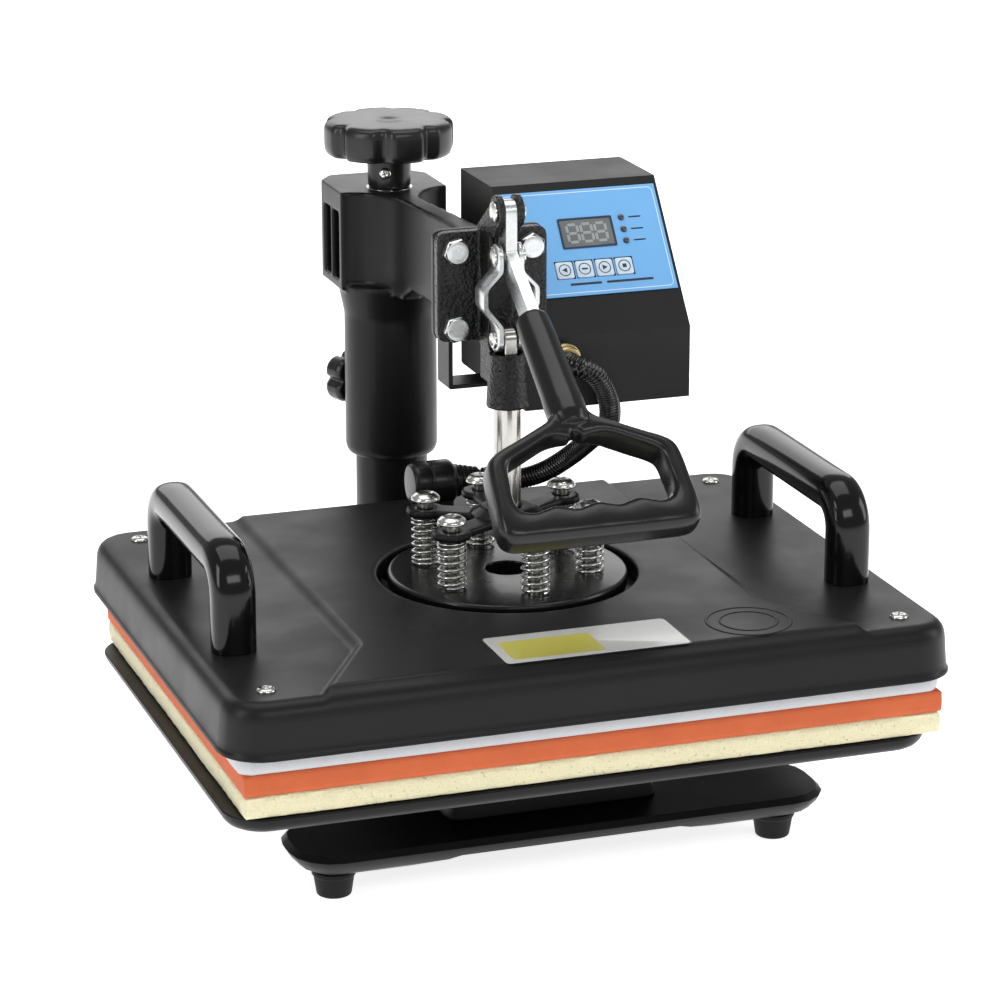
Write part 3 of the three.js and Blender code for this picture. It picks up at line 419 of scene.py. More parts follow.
@dataclass(frozen=True)
class Gloss:
    """A printed, glazed or lamp surface with a clear top coat."""

    name: str
    colour: tuple[float, float, float]
    roughness: float = 0.25
    coat: float = 0.4
    mottle: float = 0.08

    def build(self) -> bpy.types.Material:
        """Makes the material.

        Returns:
            The surface, slightly uneven under its coat.
        """
        recipe = Recipe(self.name, self.colour, self.roughness)
        recipe.set("Coat Weight", self.coat)
        recipe.set("Coat Roughness", 0.12)
        darker = tuple(c * (1 - self.mottle) for c in self.colour)
        recipe.feed("Base Color", recipe.blend_colour(recipe.noise(90, 3), self.colour, darker))
        recipe.relief(recipe.noise(800, 2), 0.05, 0.05)
        return recipe.material


FINISHES = (
    Paint("cover_paint", (0.0062, 0.0062, 0.0065), 0.4, Grain.SANDED, dust=0.2, shine=0.2),
    Paint("cast_paint", (0.0036, 0.0036, 0.0039), 0.34, Grain.ORANGE_PEEL, 0.03, 0.08, 0.2),
    Paint("base_paint", (0.0038, 0.0038, 0.0041), 0.38, Grain.SANDED, dust=0.1, shine=0.2),
    Paint("wrinkle_paint", (0.0042, 0.0042, 0.0045), 0.28, Grain.WRINKLED, 0.06, shine=0.34),
    Paint("box_paint", (0.0095, 0.0095, 0.0098), 0.46, Grain.SANDED, dust=0.15, shine=0.26),
    # The disc's black enamel, also used as painted shade in screw recesses and at the label's recess edge.
    Paint("enamel_and_painted_shade", (0.0028, 0.0028, 0.003), 0.27, Grain.ORANGE_PEEL, 0.12, shine=0.3),
    Paint("handle_gloss", (0.002, 0.002, 0.0022), 0.14, Grain.MOULDED, 0.16, 0.06, shine=0.24),
    Paint("grip_plastic", (0.005, 0.005, 0.0049), 0.28, Grain.MOULDED, 0.08, 0.12, shine=0.32),
    Paint("knob_plastic", (0.006, 0.006, 0.0062), 0.32, Grain.MOULDED, 0.1, 0.12, shine=0.36),
    Paint("conduit_plastic", (0.0024, 0.0024, 0.0027), 0.2, Grain.MOULDED, 0.3, shine=0.4),
    Paint("connector_plastic", (0.0045, 0.0045, 0.005), 0.32, Grain.MOULDED, 0.1),
    Paint("foot_rubber", (0.0055, 0.0055, 0.006), 0.55, Grain.SANDED, dust=0.2, shine=0.2),
    Metal("zinc_plate", (0.66, 0.68, 0.68), 0.3, dents=0.07, tarnish=(0.5, 0.51, 0.51)),
    Metal("bright_zinc", (0.66, 0.66, 0.63), 0.2, tarnish=(0.42, 0.42, 0.39)),
    Metal("polished_rod", (0.5, 0.49, 0.46), 0.16, (1.0, 1.0, 0.04), tarnish=(0.3, 0.29, 0.27)),
    Metal("turned_steel", (0.45, 0.45, 0.45), 0.3, (1.0, 1.0, 3.0)),
    Metal("cast_aluminium", (0.6, 0.6, 0.6), 0.5, dents=0.3),
    Metal("gland_brass", (0.55, 0.42, 0.2), 0.3, tarnish=(0.33, 0.25, 0.12)),
    Foam("silicone_foam", (0.62, 0.13, 0.035), (0.48, 0.085, 0.02)),
    Felt("press_felt", (0.93, 0.88, 0.62), (0.78, 0.71, 0.42), (0.26, 0.18, 0.08)),
    Skin("release_skin", (0.56, 0.57, 0.58), (0.42, 0.43, 0.46)),
    Gloss("panel_blue", (0.17, 0.45, 0.82), 0.38, 0.2),
    Gloss("panel_line", (0.72, 0.84, 0.95), 0.34, 0.3),
    Gloss("panel_ink", (0.025, 0.03, 0.05), 0.35, 0.3),
    Gloss("key_face", (0.6, 0.72, 0.82), 0.35, 0.2),
    Gloss("lamp_lens", (0.03, 0.012, 0.014), 0.15, 0.8),
    Gloss("window_grey", (0.15, 0.165, 0.17), 0.22, 0.5),
    Gloss("segment_pale", (0.33, 0.34, 0.34), 0.3, 0.4),
    Gloss("frame_navy", (0.02, 0.035, 0.07), 0.3, 0.3),
    Gloss("board_green", (0.012, 0.09, 0.03), 0.4, 0.5),
    Gloss("plate_silver", (0.62, 0.62, 0.61), 0.3, 0.4),
    Gloss("plate_yellow", (0.6, 0.55, 0.08), 0.32, 0.4),
)


class Cupboard:
    """Keeps each finish's material once it is made."""

    def __init__(self) -> None:
        """Starts with every finish unmade."""
        self.recipes = {finish.name: finish for finish in FINISHES}
        self.made: dict[str, bpy.types.Material] = {}

    def get(self, name: str) -> bpy.types.Material:
        """Gives a finish's material, making it the first time.

        Args:
            name: The finish's name.

        Returns:
            Its material.
        """
        if name not in self.made:
            self.made[name] = self.recipes[name].build()
        return self.made[name]


cupboard = Cupboard()


# ------------------------------------------------------------------ outlines and paths
def rounded_outline(half_x: float, half_y: float, corner: float, steps: int = 10) -> np.ndarray:
    """Draws a rectangle with rounded corners, counter-clockwise.

    Args:
        half_x: Half its width.
        half_y: Half its depth.
        corner: The corners' radius.
        steps: Segments in each corner.

    Returns:
        Points as rows of x and y.
    """
    points = []
    for sx, sy, start in ((1, 1, 0), (-1, 1, 90), (-1, -1, 180), (1, -1, 270)):
        for i in range(steps + 1):
            turn = math.radians(start + 90 * i / steps)
            points.append((sx * (half_x - corner) + corner * math.cos(turn),
                           sy * (half_y - corner) + corner * math.sin(turn)))
    return np.array(points)


def circle(radius: float, count: int = 48) -> np.ndarray:
    """Draws a circle as rows of x and y."""
    turn = np.arange(count) * 2 * math.pi / count
    return np.stack([radius * np.cos(turn), radius * np.sin(turn)], axis=1)


def lobed(outer: float, valley: float, lobes: int, count: int) -> np.ndarray:
    """Draws a knob's outline.

    Args:
        outer: The radius over its lobes.
        valley: The radius in its finger hollows.
        lobes: How many lobes it has.
        count: Points in the outline.

    Returns:
        Wide lobes with a narrow rounded hollow between each two.
    """
    turn = np.arange(count) * 2 * math.pi / count
    from_valley = np.abs((lobes * turn / (2 * math.pi)) % 1.0 - 0.5)
    hollow = 0.5 * (1 + np.cos(np.pi * np.clip(from_valley / HOLLOW_REACH, 0, 1)))
    radius = outer - (outer - valley) * hollow
    return np.stack([radius * np.cos(turn), radius * np.sin(turn)], axis=1)


def hexagon(across: float) -> np.ndarray:
    """Draws a hexagon by its distance across flats, with eased corners.

    Args:
        across: The distance across its flats.

    Returns:
        Twelve points, two close together at each corner.
    """
    radius = across / math.sqrt(3)
    points = []
    for i in range(6):
        for swing in (-2.5, 2.5):
            turn = math.radians(60 * i + swing)
            points.append((radius * 0.985 * math.cos(turn), radius * 0.985 * math.sin(turn)))
    return np.array(points)


def shrunk(outline: np.ndarray, inset: float) -> np.ndarray:
    """Moves a counter-clockwise outline inwards along its own normals.

    Args:
        outline: The outline.
        inset: How far, in millimetres.

    Returns:
        The smaller outline.
    """
    ahead, behind = np.roll(outline, -1, axis=0), np.roll(outline, 1, axis=0)
    along = ahead - behind
    normal = np.stack([along[:, 1], -along[:, 0]], axis=1)
    normal /= np.maximum(np.linalg.norm(normal, axis=1), 1e-9)[:, None]
    return outline - normal * inset


def raised(outline: np.ndarray, z: float) -> np.ndarray:
    """Lifts a flat outline to a height."""
    return np.column_stack([outline, np.full(len(outline), z)])


def smooth_path(knots: Sequence[Point], count: int) -> np.ndarray:
    """Runs a smooth curve through points.

    Args:
        knots: The points, in order.
        count: How many points to return, evenly spaced along the curve.

    Returns:
        Points as rows of x, y and z.
    """
    given = np.array(knots, float)
    padded = np.vstack([2 * given[0] - given[1], given, 2 * given[-1] - given[-2]])
    fine = []
    for k in range(1, len(padded) - 2):
        p0, p1, p2, p3 = padded[k - 1:k + 3]
        for t in np.linspace(0, 1, 24, endpoint=False):
            fine.append(0.5 * (2 * p1 + (p2 - p0) * t + (2 * p0 - 5 * p1 + 4 * p2 - p3) * t * t
                               + (3 * p1 - p0 - 3 * p2 + p3) * t ** 3))
    fine = np.array([*fine, given[-1]])
    run = np.concatenate([[0], np.cumsum(np.linalg.norm(np.diff(fine, axis=0), axis=1))])
    at = np.linspace(0, run[-1], count)
    return np.stack([np.interp(at, run, fine[:, k]) for k in range(3)], axis=1)


def soft_step(value: np.ndarray) -> np.ndarray:
    """Eases from 0 to 1 as value goes from 0 to 1."""
    t = np.clip(value, 0, 1)
    return t * t * (3 - 2 * t)


# ------------------------------------------------------------------ forming
class Form:
    """One mesh under construction, in millimetres."""

    def __init__(self) -> None:
        """Starts empty."""
        self.points: list[tuple[float, float, float]] = []
        self.faces: list[tuple[int, ...]] = []

    def add(self, points: np.ndarray) -> list[int]:
        """Adds points and gives their numbers.

        Args:
            points: Rows of x, y and z.

        Returns:
            The new points' numbers.
        """
        start = len(self.points)
        self.points.extend(map(tuple, np.asarray(points, float)))
        return list(range(start, len(self.points)))

    def strip(self, low: Sequence[int], high: Sequence[int], closed: bool = True) -> None:
        """Joins two rows of points with quads.

        Args:
            low: The first row's point numbers.
            high: The second row's.
            closed: Whether the last quad joins back to the first.
        """
        count = len(low)
        for i in range(count if closed else count - 1):
            j = (i + 1) % count
            self.faces.append((low[i], low[j], high[j], high[i]))

    def loft(self, rings: Sequence[np.ndarray], caps: tuple[bool, bool] = (True, True),
             loop: bool = False) -> "Form":
        """Skins a stack of rings with the same number of points.

        Args:
            rings: Each ring's points, counter-clockwise seen from the last ring.
            caps: Whether the first and the last ring are closed over.
            loop: Whether the last ring joins the first.

        Returns:
            This form.
        """
        rows = [self.add(ring) for ring in rings]
        for low, high in zip(rows, rows[1:]):
            self.strip(low, high)
        if loop:
            self.strip(rows[-1], rows[0])
            return self
        if caps[0]:
            self.faces.append(tuple(reversed(rows[0])))
        if caps[1]:
            self.faces.append(tuple(rows[-1]))
        return self

    def turn(self, profile: Sequence[Point], sides: int = 48, loop: bool = False,
             caps: tuple[bool, bool] = (True, True)) -> "Form":
        """Turns a profile of radius and height pairs about Z."""
        return self.loft([raised(circle(max(r, 0.01), sides), z) for r, z in profile], caps, loop)

    def tube(self, path: np.ndarray, section: np.ndarray, up: Point = (0, 0, 1),
             scale: Callable[[float], float] | None = None,
             caps: tuple[bool, bool] = (True, True)) -> "Form":
        """Sweeps a section along a path without twisting.

        Args:
            path: Points as rows of x, y and z.
            section: The section's outline; its second axis starts out along up.
            up: The section's first upward direction.
            scale: The section's size from its share of the way along.
            caps: Whether the ends are closed over.

        Returns:
            This form.
        """
        along = np.gradient(path, axis=0)
        along /= np.linalg.norm(along, axis=1)[:, None]
        lift = np.array(up, float)
        rings = []
        for k, (point, ahead) in enumerate(zip(path, along)):
            lift = lift - ahead * (lift @ ahead)
            lift /= np.linalg.norm(lift)
            side = np.cross(ahead, lift)
            size = scale(k / (len(path) - 1)) if scale else 1.0
            rings.append(point + size * (section[:, :1] * side * -1 + section[:, 1:] * lift))
        return self.loft(rings, caps)

    def moved(self, matrix: Matrix) -> "Form":
        """Moves every point so far by a matrix."""
        self.points = [tuple(matrix @ Vector(p)) for p in self.points]
        return self

    def piece(self, name: str, body: Body | None, finish: str, slot: str,
              sharp: float = 38.0) -> bpy.types.Object:
        """Turns the form into a piece of the press.

        Args:
            name: The piece's name.
            body: The body it rides on, or None to leave it unattached here.
            finish: The finish's name.
            slot: The record's material slot.
            sharp: The angle in degrees above which an edge stays sharp.

        Returns:
            The new object.
        """
        mesh = bpy.data.meshes.new(name)
        mesh.from_pydata([tuple(c * MM for c in p) for p in self.points], [], self.faces)
        mesh.validate()
        mesh.shade_smooth()
        mesh.set_sharp_from_angle(angle=math.radians(sharp))
        mesh.materials.append(cupboard.get(finish))
        made = bpy.data.objects.new(name, mesh)
        bpy.context.scene.collection.objects.link(made)
        if body is not None:
            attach(made, body.value)
        log.info("%s: %d faces", name, len(mesh.polygons))
        return made


def slab(half_x: float, half_y: float, corner: float, steps: Sequence[Point], centre: Point = (0, 0),
         segments: int = 10) -> Form:
    """Stacks rounded rectangles.

    Args:
        half_x: Half the full width.
        half_y: Half the full depth.
        corner: The corners' radius at full size.
        steps: Pairs of inset and height, rising.
        centre: The middle in x and y.
        segments: Segments in each corner.

    Returns:
        The closed form.
    """
    rings = []
    for inset, z in steps:
        outline = rounded_outline(half_x - inset, half_y - inset, max(corner - inset, 0.6), segments)
        rings.append(raised(outline + np.array(centre), z))
    return Form().loft(rings)


def eased(outline: np.ndarray, low: float, high: float, round_over: float, rows: int = 3) -> list[np.ndarray]:
    """Raises an outline into a slab whose top and bottom edges are rounded over.

    Args:
        outline: The outline.
        low: The slab's underside.
        high: Its top.
        round_over: The rounding's radius.
        rows: Segments in each rounding.

    Returns:
        The slab's rings, rising.
    """
    turns = [math.pi / 2 * k / rows for k in range(rows + 1)]
    rings = [raised(shrunk(outline, round_over * (1 - math.sin(t))), low + round_over * (1 - math.cos(t)))
             for t in turns]
    rings += [raised(shrunk(outline, round_over * (1 - math.cos(t))), high - round_over * (1 - math.sin(t)))
              for t in turns]
    return rings


def rounded_profile(corners: Sequence[tuple[float, float, float]],
                    rows: int = 4) -> list[tuple[float, float]]:
    """Rounds the corners of a turned profile.

    Args:
        corners: Radius, height and rounding of each corner, in order.
        rows: Segments in each rounding.

    Returns:
        Radius and height pairs.
    """
    made: list[tuple[float, float]] = []
    for k, (r, z, ease) in enumerate(corners):
        if ease <= 0 or k in (0, len(corners) - 1):
            made.append((r, z))
            continue
        here = np.array((r, z))
        before, after = np.array(corners[k - 1][:2]), np.array(corners[k + 1][:2])
        start = here + (before - here) / np.linalg.norm(before - here) * ease
        end = here + (after - here) / np.linalg.norm(after - here) * ease
        for i in range(rows + 1):
            t = i / rows
            point = (1 - t) ** 2 * start + 2 * t * (1 - t) * here + t * t * end
            made.append((float(point[0]), float(point[1])))
    return made


def at(x: float, y: float, z: float) -> Matrix:
    """Gives a matrix that moves by millimetres."""
    return Matrix.Translation((x, y, z))


def turned_about(axis: str, degrees: float) -> Matrix:
    """Gives a matrix that turns about an axis through the origin."""
    return Matrix.Rotation(math.radians(degrees), 4, axis)


def box_of(node: str) -> tuple[Vector, Vector]:
    """Gives a frame part's lowest and highest corners in millimetres.

    Args:
        node: The frame part.

    Returns:
        Its two corners.
    """
    low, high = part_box(node)
    return low / MM, high / MM


# ------------------------------------------------------------------ dressing the frame's own parts
def weld(node: bpy.types.Object) -> None:
    """Joins a part's split corners again."""
    joined = node.modifiers.new("weld", "WELD")
    joined.merge_threshold = 0.00001


def dress(name: str, finish: str) -> bpy.types.Object:
    """Gives one of the frame's parts its finish.

    Args:
        name: The frame part.
        finish: Its finish.

    Returns:
        The part.
    """
    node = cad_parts[name]
    node.data.materials.clear()
    node.data.materials.append(cupboard.get(finish))
    log.info("%s: %s", name, finish)
    return node


def ease_edges(name: str, finish: str, width: float = 0.5, segments: int = 2) -> None:
    """Dresses a part and rounds its edges over.

    Args:
        name: The frame part.
        finish: Its finish.
        width: The rounding in millimetres.
        segments: Segments in each rounding.
    """
    node = dress(name, finish)
    weld(node)
    merged = node.modifiers.new("merge_flats", "DECIMATE")
    merged.decimate_type = "DISSOLVE"
    merged.angle_limit = math.radians(1.0)
    bevel = node.modifiers.new("edges", "BEVEL")
    bevel.width = width * MM
    bevel.segments = segments
    bevel.limit_method = "ANGLE"
    bevel.angle_limit = math.radians(32)
    even = node.modifiers.new("even", "WEIGHTED_NORMAL")
    even.weight = 80


def soften(piece: bpy.types.Object, voxel: float, passes: int) -> None:
    """Gives a piece one flowing skin, with its edges and inner corners rounded.

    Args:
        piece: The piece.
        voxel: The size of the new skin's cells in millimetres.
        passes: How often the skin is smoothed.
    """
    skin = piece.modifiers.new("skin", "REMESH")
    skin.mode = "VOXEL"
    skin.voxel_size = voxel * MM
    skin.use_smooth_shade = True
    flow = piece.modifiers.new("flow", "SMOOTH")
    flow.factor = 0.5
    flow.iterations = passes


def cast_over(name: str, finish: str, voxel: float, passes: int) -> None:
    """Dresses a casting and rounds all its edges and inner corners as sand casting does.

    Args:
        name: The frame part.
        finish: Its finish.
        voxel: The size of the new skin's cells in millimetres.
        passes: How often the skin is smoothed.
    """
    node = dress(name, finish)
    weld(node)
    soften(node, voxel, passes)


# ------------------------------------------------------------------ base and lower table
@dataclass
class Base:
    """The pressed base on its four feet, the fixed table and the post."""

    table_round: tuple[tuple[float, float], ...] = (
        (9.0, 0.0), (5.6, 0.9), (3.2, 2.2), (1.5, 4.0), (0.5, 5.8), (0.1, 7.4), (0.0, 8.6), (0.5, 9.2))
    table_corner: float = 22.0
    post_bore: float = 18.0
    post_radius: float = 21.0

    def build(self) -> None:
        """Builds and dresses everything that stands still."""
        ease_edges("base_frame", "base_paint", 1.2, 3)
        for name in ("foot_front_left", "foot_front_right", "foot_rear_left", "foot_rear_right"):
            self.foot(name)
        self.table()
        self.post()
        ease_edges("post_nut", "gland_brass", 0.4)

    def foot(self, name: str) -> None:
        """Builds one tapered rubber foot with a moulded rim.

        Args:
            name: The frame part that it replaces.
        """
        low, high = box_of(name)
        middle, top = (low + high) / 2, high.z
        wide = (high.x - low.x) / 2
        profile = rounded_profile([(0, 0, 0), (wide * 0.78, 0, 1.2), (wide - 0.9, top - 3, 0.6),
                                   (wide, top - 2.4, 0.5),
                                   (wide, top, 0.4), (0, top, 0)])
        form = Form().turn(profile, 40).moved(at(middle.x, middle.y, 0))
        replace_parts(form.piece(name + "_rubber", Body.BASE, "foot_rubber", "foot_rubber"), name)

    def table(self) -> None:
        """Builds the pressed table with its rolled under-edge."""
        low, high = box_of("lower_table")
        half, centre = (high - low) / 2, (high + low) / 2
        steps = [(inset, low.z + rise) for inset, rise in self.table_round]
        form = slab(half.x, half.y, self.table_corner, steps, (centre.x, centre.y), 14)
        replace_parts(form.piece("table_pressing", Body.BASE, "base_paint", "painted_casting"), "lower_table")

    def post(self) -> None:
        """Builds the post with its welded flange."""
        low, high = box_of("post")
        wide, centre_y = (high.x - low.x) / 2, (high.y + low.y) / 2
        bore, radius = self.post_bore, self.post_radius
        profile = rounded_profile([(bore, low.z, 0), (wide, low.z, 0.6), (wide, low.z + 5.6, 1.2),
                                   (radius + 3, low.z + 6.2, 2.5), (radius, low.z + 10, 2.5),
                                   (radius, high.z, 0.5), (bore, high.z, 0)])
        form = Form().turn(profile, 64, loop=True).moved(at(0, centre_y, 0))
        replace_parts(form.piece("post_tube", Body.BASE, "cast_paint", "painted_casting"), "post")


@dataclass
class Stack:
    """The felt and the silicone foam that the work lies on."""

    grid: float = 4.0
    core: float = 14.0
    felt_rough: float = 0.8
    foam_rough: float = 0.25

    def build(self) -> None:
        """Builds both pads."""
        felt = self.pad("felt_pad", "felt_cut", "press_felt", "felt", self.felt_rough, 1.4, 3)
        foam = self.pad("silicone_pad", "silicone_sheet", "silicone_foam", "silicone", self.foam_rough, 0.7,
                        5)

    def pad(self, node: str, name: str, finish: str, slot: str, rough: float, ease: float,
            seed: int) -> bpy.types.Object:
        """Builds a pad whose cut sides waver.

        Args:
            node: The frame part that it replaces.
            name: The piece's name.
            finish: Its finish.
            slot: Its material slot.
            rough: How far the cut sides waver in millimetres.
            ease: The rounding along its edges.
            seed: Picks the waver.

        Returns:
            The pad.
        """
        low, high = box_of(node)
        half, centre = (high - low) / 2, (high + low) / 2
        outline = self.walk(half.x, half.y)
        random = np.random.default_rng(seed)
        tall = high.z - low.z
        shares = (0.0, 0.0, 0.06, 0.25, 0.5, 0.75, 0.94, 1.0, 1.0)
        insets = (self.core, ease + rough, rough * 0.7, rough * 0.3, 0.0, rough * 0.2, rough * 0.5,
                  ease + rough * 0.6, self.core)
        along = np.arange(len(outline))
        sway = sum(np.sin(along * f + p) for f, p in zip((0.07, 0.19, 0.43), random.uniform(0, 6, 3))) / 3
        rings = []
        for share, inset in zip(shares, insets):
            fray = np.zeros(len(outline))
            if inset < self.core:
                waver = rough * (0.45 * random.random(len(outline)) + 0.3 * (1 + sway))
                ring = outline - self.outward(outline, half) * (inset + waver)[:, None]
                if share == 0.0:
                    fray = np.maximum(0.35 * rough * (random.random(len(outline)) - 0.2), 0.0)
            else:
                ring = outline * ((half.x - inset) / half.x, (half.y - inset) / half.y)
            points = raised(ring + np.array((centre.x, centre.y)), low.z + tall * share)
            points[:, 2] += fray
            rings.append(points)
        made = Form().loft(rings).piece(name, Body.BASE, finish, slot, 60)
        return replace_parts(made, node)

    def walk(self, half_x: float, half_y: float) -> np.ndarray:
        """Steps round a square-cornered sheet at the grid's spacing.

        Args:
            half_x: Half the sheet's width.
            half_y: Half its depth.

        Returns:
            Points round its edge, counter-clockwise.
        """
        corners = [(half_x, -half_y), (half_x, half_y), (-half_x, half_y), (-half_x, -half_y)]
        points = []
        for start, end in zip(corners, corners[1:] + corners[:1]):
            count = round(math.dist(start, end) / self.grid)
            points += [np.array(start) + (np.array(end) - np.array(start)) * k / count for k in range(count)]
        return np.array(points)

    def outward(self, outline: np.ndarray, half: Vector) -> np.ndarray:
        """Gives each edge point's outward direction, both ways at a corner."""
        return np.stack([np.sign(outline[:, 0]) * (np.abs(outline[:, 0]) > half.x - 0.01),
                         np.sign(outline[:, 1]) * (np.abs(outline[:, 1]) > half.y - 0.01)], axis=1)


# ------------------------------------------------------------------ heated platen
@dataclass
class Cover:
    """The pressed steel cover with its raised middle that flares towards the operator."""

    centre_y: float = -53.0
    half_x: float = 198.5
    half_y: float = 155.0
    corner: float = 24.0
    flat: float = 134.7
    rise: float = 3.8
    ridge_rear: float = 115.0
    ridge_front: float = 150.0
    elbow_y: float = -88.0
    ridge_end: float = 147.0
    slope: float = 6.5
    hole: float = 70.5
    island: float = 78.0
    island_columns: int = 13
    even_columns: float = 107.0
    lip: tuple[float, float] = (2.8, 106.4)
    inner_wall: tuple[float, float] = (4.2, 126.0)
    hole_roll: tuple[tuple[float, float], ...] = (
        (74.5, 0.0), (72.0, 0.05), (71.2, 0.35), (70.7, 0.9), (70.5, 1.7), (70.5, 9.0))
    shoulder: tuple[tuple[float, float], ...] = (
        (10.5, 134.7), (8.4, 134.35), (6.4, 133.4), (4.7, 131.9), (3.4, 129.9), (2.6, 127.4), (2.2, 124.0),
        (1.8, 118.0), (1.3, 112.0), (1.0, 109.4), (0.5, 108.4), (0.0, 107.7), (0.0, 106.3), (0.5, 106.0))
    screws: tuple[tuple[float, float], ...] = ((-172, -130), (172, -130), (-172, 130), (172, 130))
    badge: tuple[float, float] = (90.4, -120.8)
    label: tuple[float, float, float, float] = (-50.0, 49.6, -143.0, -102.5)

    def build(self) -> None:
        """Builds the cover, its screws, plate and badge."""
        form = Form()
        boundary = self.top(form)
        self.sides(form, boundary)
        self.rim(form)
        form.moved(at(0, self.centre_y, 0))
        made = form.piece("cover_pressing", Body.PLATEN, "cover_paint", "painted_cover", 50)
        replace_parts(made, "heat_cover")
        for k, (x, y) in enumerate(self.screws, 1):
            pan_screw(f"cover_screw_{k}", Body.PLATEN, (x, y + self.centre_y, self.flat), 5.0, 1.9, 30 * k)
        self.plate()
        self.ring()

    def width_at(self, y: np.ndarray) -> np.ndarray:
        """Gives the raised middle's half width at a depth."""
        share = np.clip((self.elbow_y - y) / (self.elbow_y + self.ridge_end), 0, None)
        return self.ridge_rear + (self.ridge_front - self.ridge_rear) * share

    def height(self, x: np.ndarray, y: np.ndarray) -> np.ndarray:
        """Gives the top's height at a place, measured from the platen's centre.

        Args:
            x: Distances across.
            y: Distances in depth.

        Returns:
            The heights.
        """
        side = (self.width_at(y) - np.abs(x)) / self.slope
        ends = (self.ridge_end - np.abs(y)) / 5.0
        return self.flat + self.rise * soft_step(side) * soft_step(ends)

    def top(self, form: Form) -> list[int]:
        """Lays out the top in rows and columns that follow the raised middle.

        Args:
            form: The form to add to.

        Returns:
            The point numbers round the outer edge, counter-clockwise.
        """
        inset = self.shoulder[0][0]
        half_x, half_y = self.half_x - inset, self.half_y - inset
        ys = np.unique(np.concatenate([
            np.linspace(-half_y, -half_y + 9, 10), np.linspace(-half_y + 9, -self.island, 16),
            np.linspace(-self.island, self.island, 27), np.linspace(self.island, half_y - 9, 14),
            np.linspace(half_y - 9, half_y, 10)]).round(4))
        inner = np.concatenate([np.linspace(0, self.island, self.island_columns + 1),
                                np.linspace(self.island, self.even_columns, 7)[1:]]) / self.even_columns
        numbers = []
        for y in ys:
            wide = float(self.width_at(np.array(y)))
            right = np.concatenate([inner * (wide - 8), wide - 8 + np.arange(1, 13),
                                    np.linspace(wide + 4, half_x, 12)[1:]])
            row = np.concatenate([-right[:0:-1], right])
            place = np.array([self.hold(x, y, half_x, half_y) for x in row])
            numbers.append(form.add(np.column_stack([place, self.height(place[:, 0], place[:, 1])])))
        columns = len(numbers[0])
        middle = columns // 2
        near_x = [middle - self.island_columns, middle + self.island_columns]
        near_y = [int(np.argmin(np.abs(ys + self.island))), int(np.argmin(np.abs(ys - self.island)))]
        for r in range(len(ys) - 1):
            for c in range(columns - 1):
                if near_y[0] <= r < near_y[1] and near_x[0] <= c < near_x[1]:
                    continue
                form.faces.append((numbers[r][c], numbers[r][c + 1], numbers[r + 1][c + 1],
                                   numbers[r + 1][c]))
        self.island_ring(form, numbers, near_x, near_y)
        return (numbers[0] + [row[-1] for row in numbers[1:]] + numbers[-1][-2::-1]
                + [row[0] for row in numbers[-2:0:-1]])

    def hold(self, x: float, y: float, half_x: float, half_y: float) -> tuple[float, float]:
        """Pulls a place in to the rounded corner if it lies outside it.

        Args:
            x: The place across.
            y: The place in depth.
            half_x: Half the flat top's width.
            half_y: Half its depth.

        Returns:
            The place, moved in where it had to be.
        """
        corner = self.corner - self.shoulder[0][0]
        dx, dy = abs(x) - (half_x - corner), abs(y) - (half_y - corner)
        if dx <= 0 or dy <= 0 or math.hypot(dx, dy) <= corner:
            return x, y
        pull = corner / math.hypot(dx, dy)
        return (math.copysign(half_x - corner + dx * pull, x), math.copysign(half_y - corner + dy * pull, y))

    def island_ring(self, form: Form, numbers: list[list[int]], near_x: list[int], near_y: list[int]) -> None:
        """Fills between the square gap in the grid and the round hole, and rolls the hole's edge down.

        Args:
            form: The form to add to.
            numbers: The grid's point numbers, row by row.
            near_x: The gap's first and last column.
            near_y: Its first and last row.
        """
        (c0, c1), (r0, r1) = near_x, near_y
        loop = ([numbers[r0][c] for c in range(c0, c1)] + [numbers[r][c1] for r in range(r0, r1)]
                + [numbers[r1][c] for c in range(c1, c0, -1)] + [numbers[r][c0] for r in range(r1, r0, -1)])
        square = np.array([form.points[k] for k in loop])
        turn = np.arctan2(square[:, 1], square[:, 0])
        rows = [loop]
        for radius, drop in self.hole_roll:
            ring = np.column_stack([radius * np.cos(turn), radius * np.sin(turn),
                                    np.full(len(turn), self.flat + self.rise - drop)])
            rows.append(form.add(ring))
        for outer, inner in zip(rows, rows[1:]):
            form.strip(outer, inner)

    def sides(self, form: Form, boundary: list[int]) -> None:
        """Rolls the shoulder over and brings the sides down to the lip.

        Args:
            form: The form to add to.
            boundary: The point numbers round the top's outer edge.
        """
        first = self.shoulder[0]
        edge = np.array([form.points[k] for k in boundary])
        half_x, half_y = self.half_x - first[0], self.half_y - first[0]
        corner = self.corner - first[0]
        core = np.stack([np.clip(edge[:, 0], -(half_x - corner), half_x - corner),
                         np.clip(edge[:, 1], -(half_y - corner), half_y - corner)], axis=1)
        out = edge[:, :2] - core
        out /= np.linalg.norm(out, axis=1)[:, None]
        lift = edge[:, 2] - self.flat
        low = boundary
        for k, (inset, z) in enumerate(self.shoulder[1:], 1):
            fade = max(0.0, 1 - k / 4)
            ring = np.column_stack([edge[:, :2] + out * (first[0] - inset), z + lift * fade])
            high = form.add(ring)
            form.strip(high, low)
            low = high
        for inset, z in (self.lip, self.inner_wall):
            deeper = form.add(raised(edge[:, :2] + out * (first[0] - inset), z))
            form.strip(deeper, low)
            low = deeper

    def rim(self, form: Form) -> None:
        """Closes the underside over the heating plate with a plain inner sheet.

        Args:
            form: The form to add to.
        """
        outline = rounded_outline(self.half_x - 4.4, self.half_y - 4.4, self.corner - 4, 8)
        turn = np.arctan2(outline[:, 1], outline[:, 0])
        hole = self.hole * np.stack([np.cos(turn), np.sin(turn)], axis=1)
        low, high = form.add(raised(outline, self.inner_wall[1])), form.add(raised(hole, 128.5))
        form.strip(low, high)

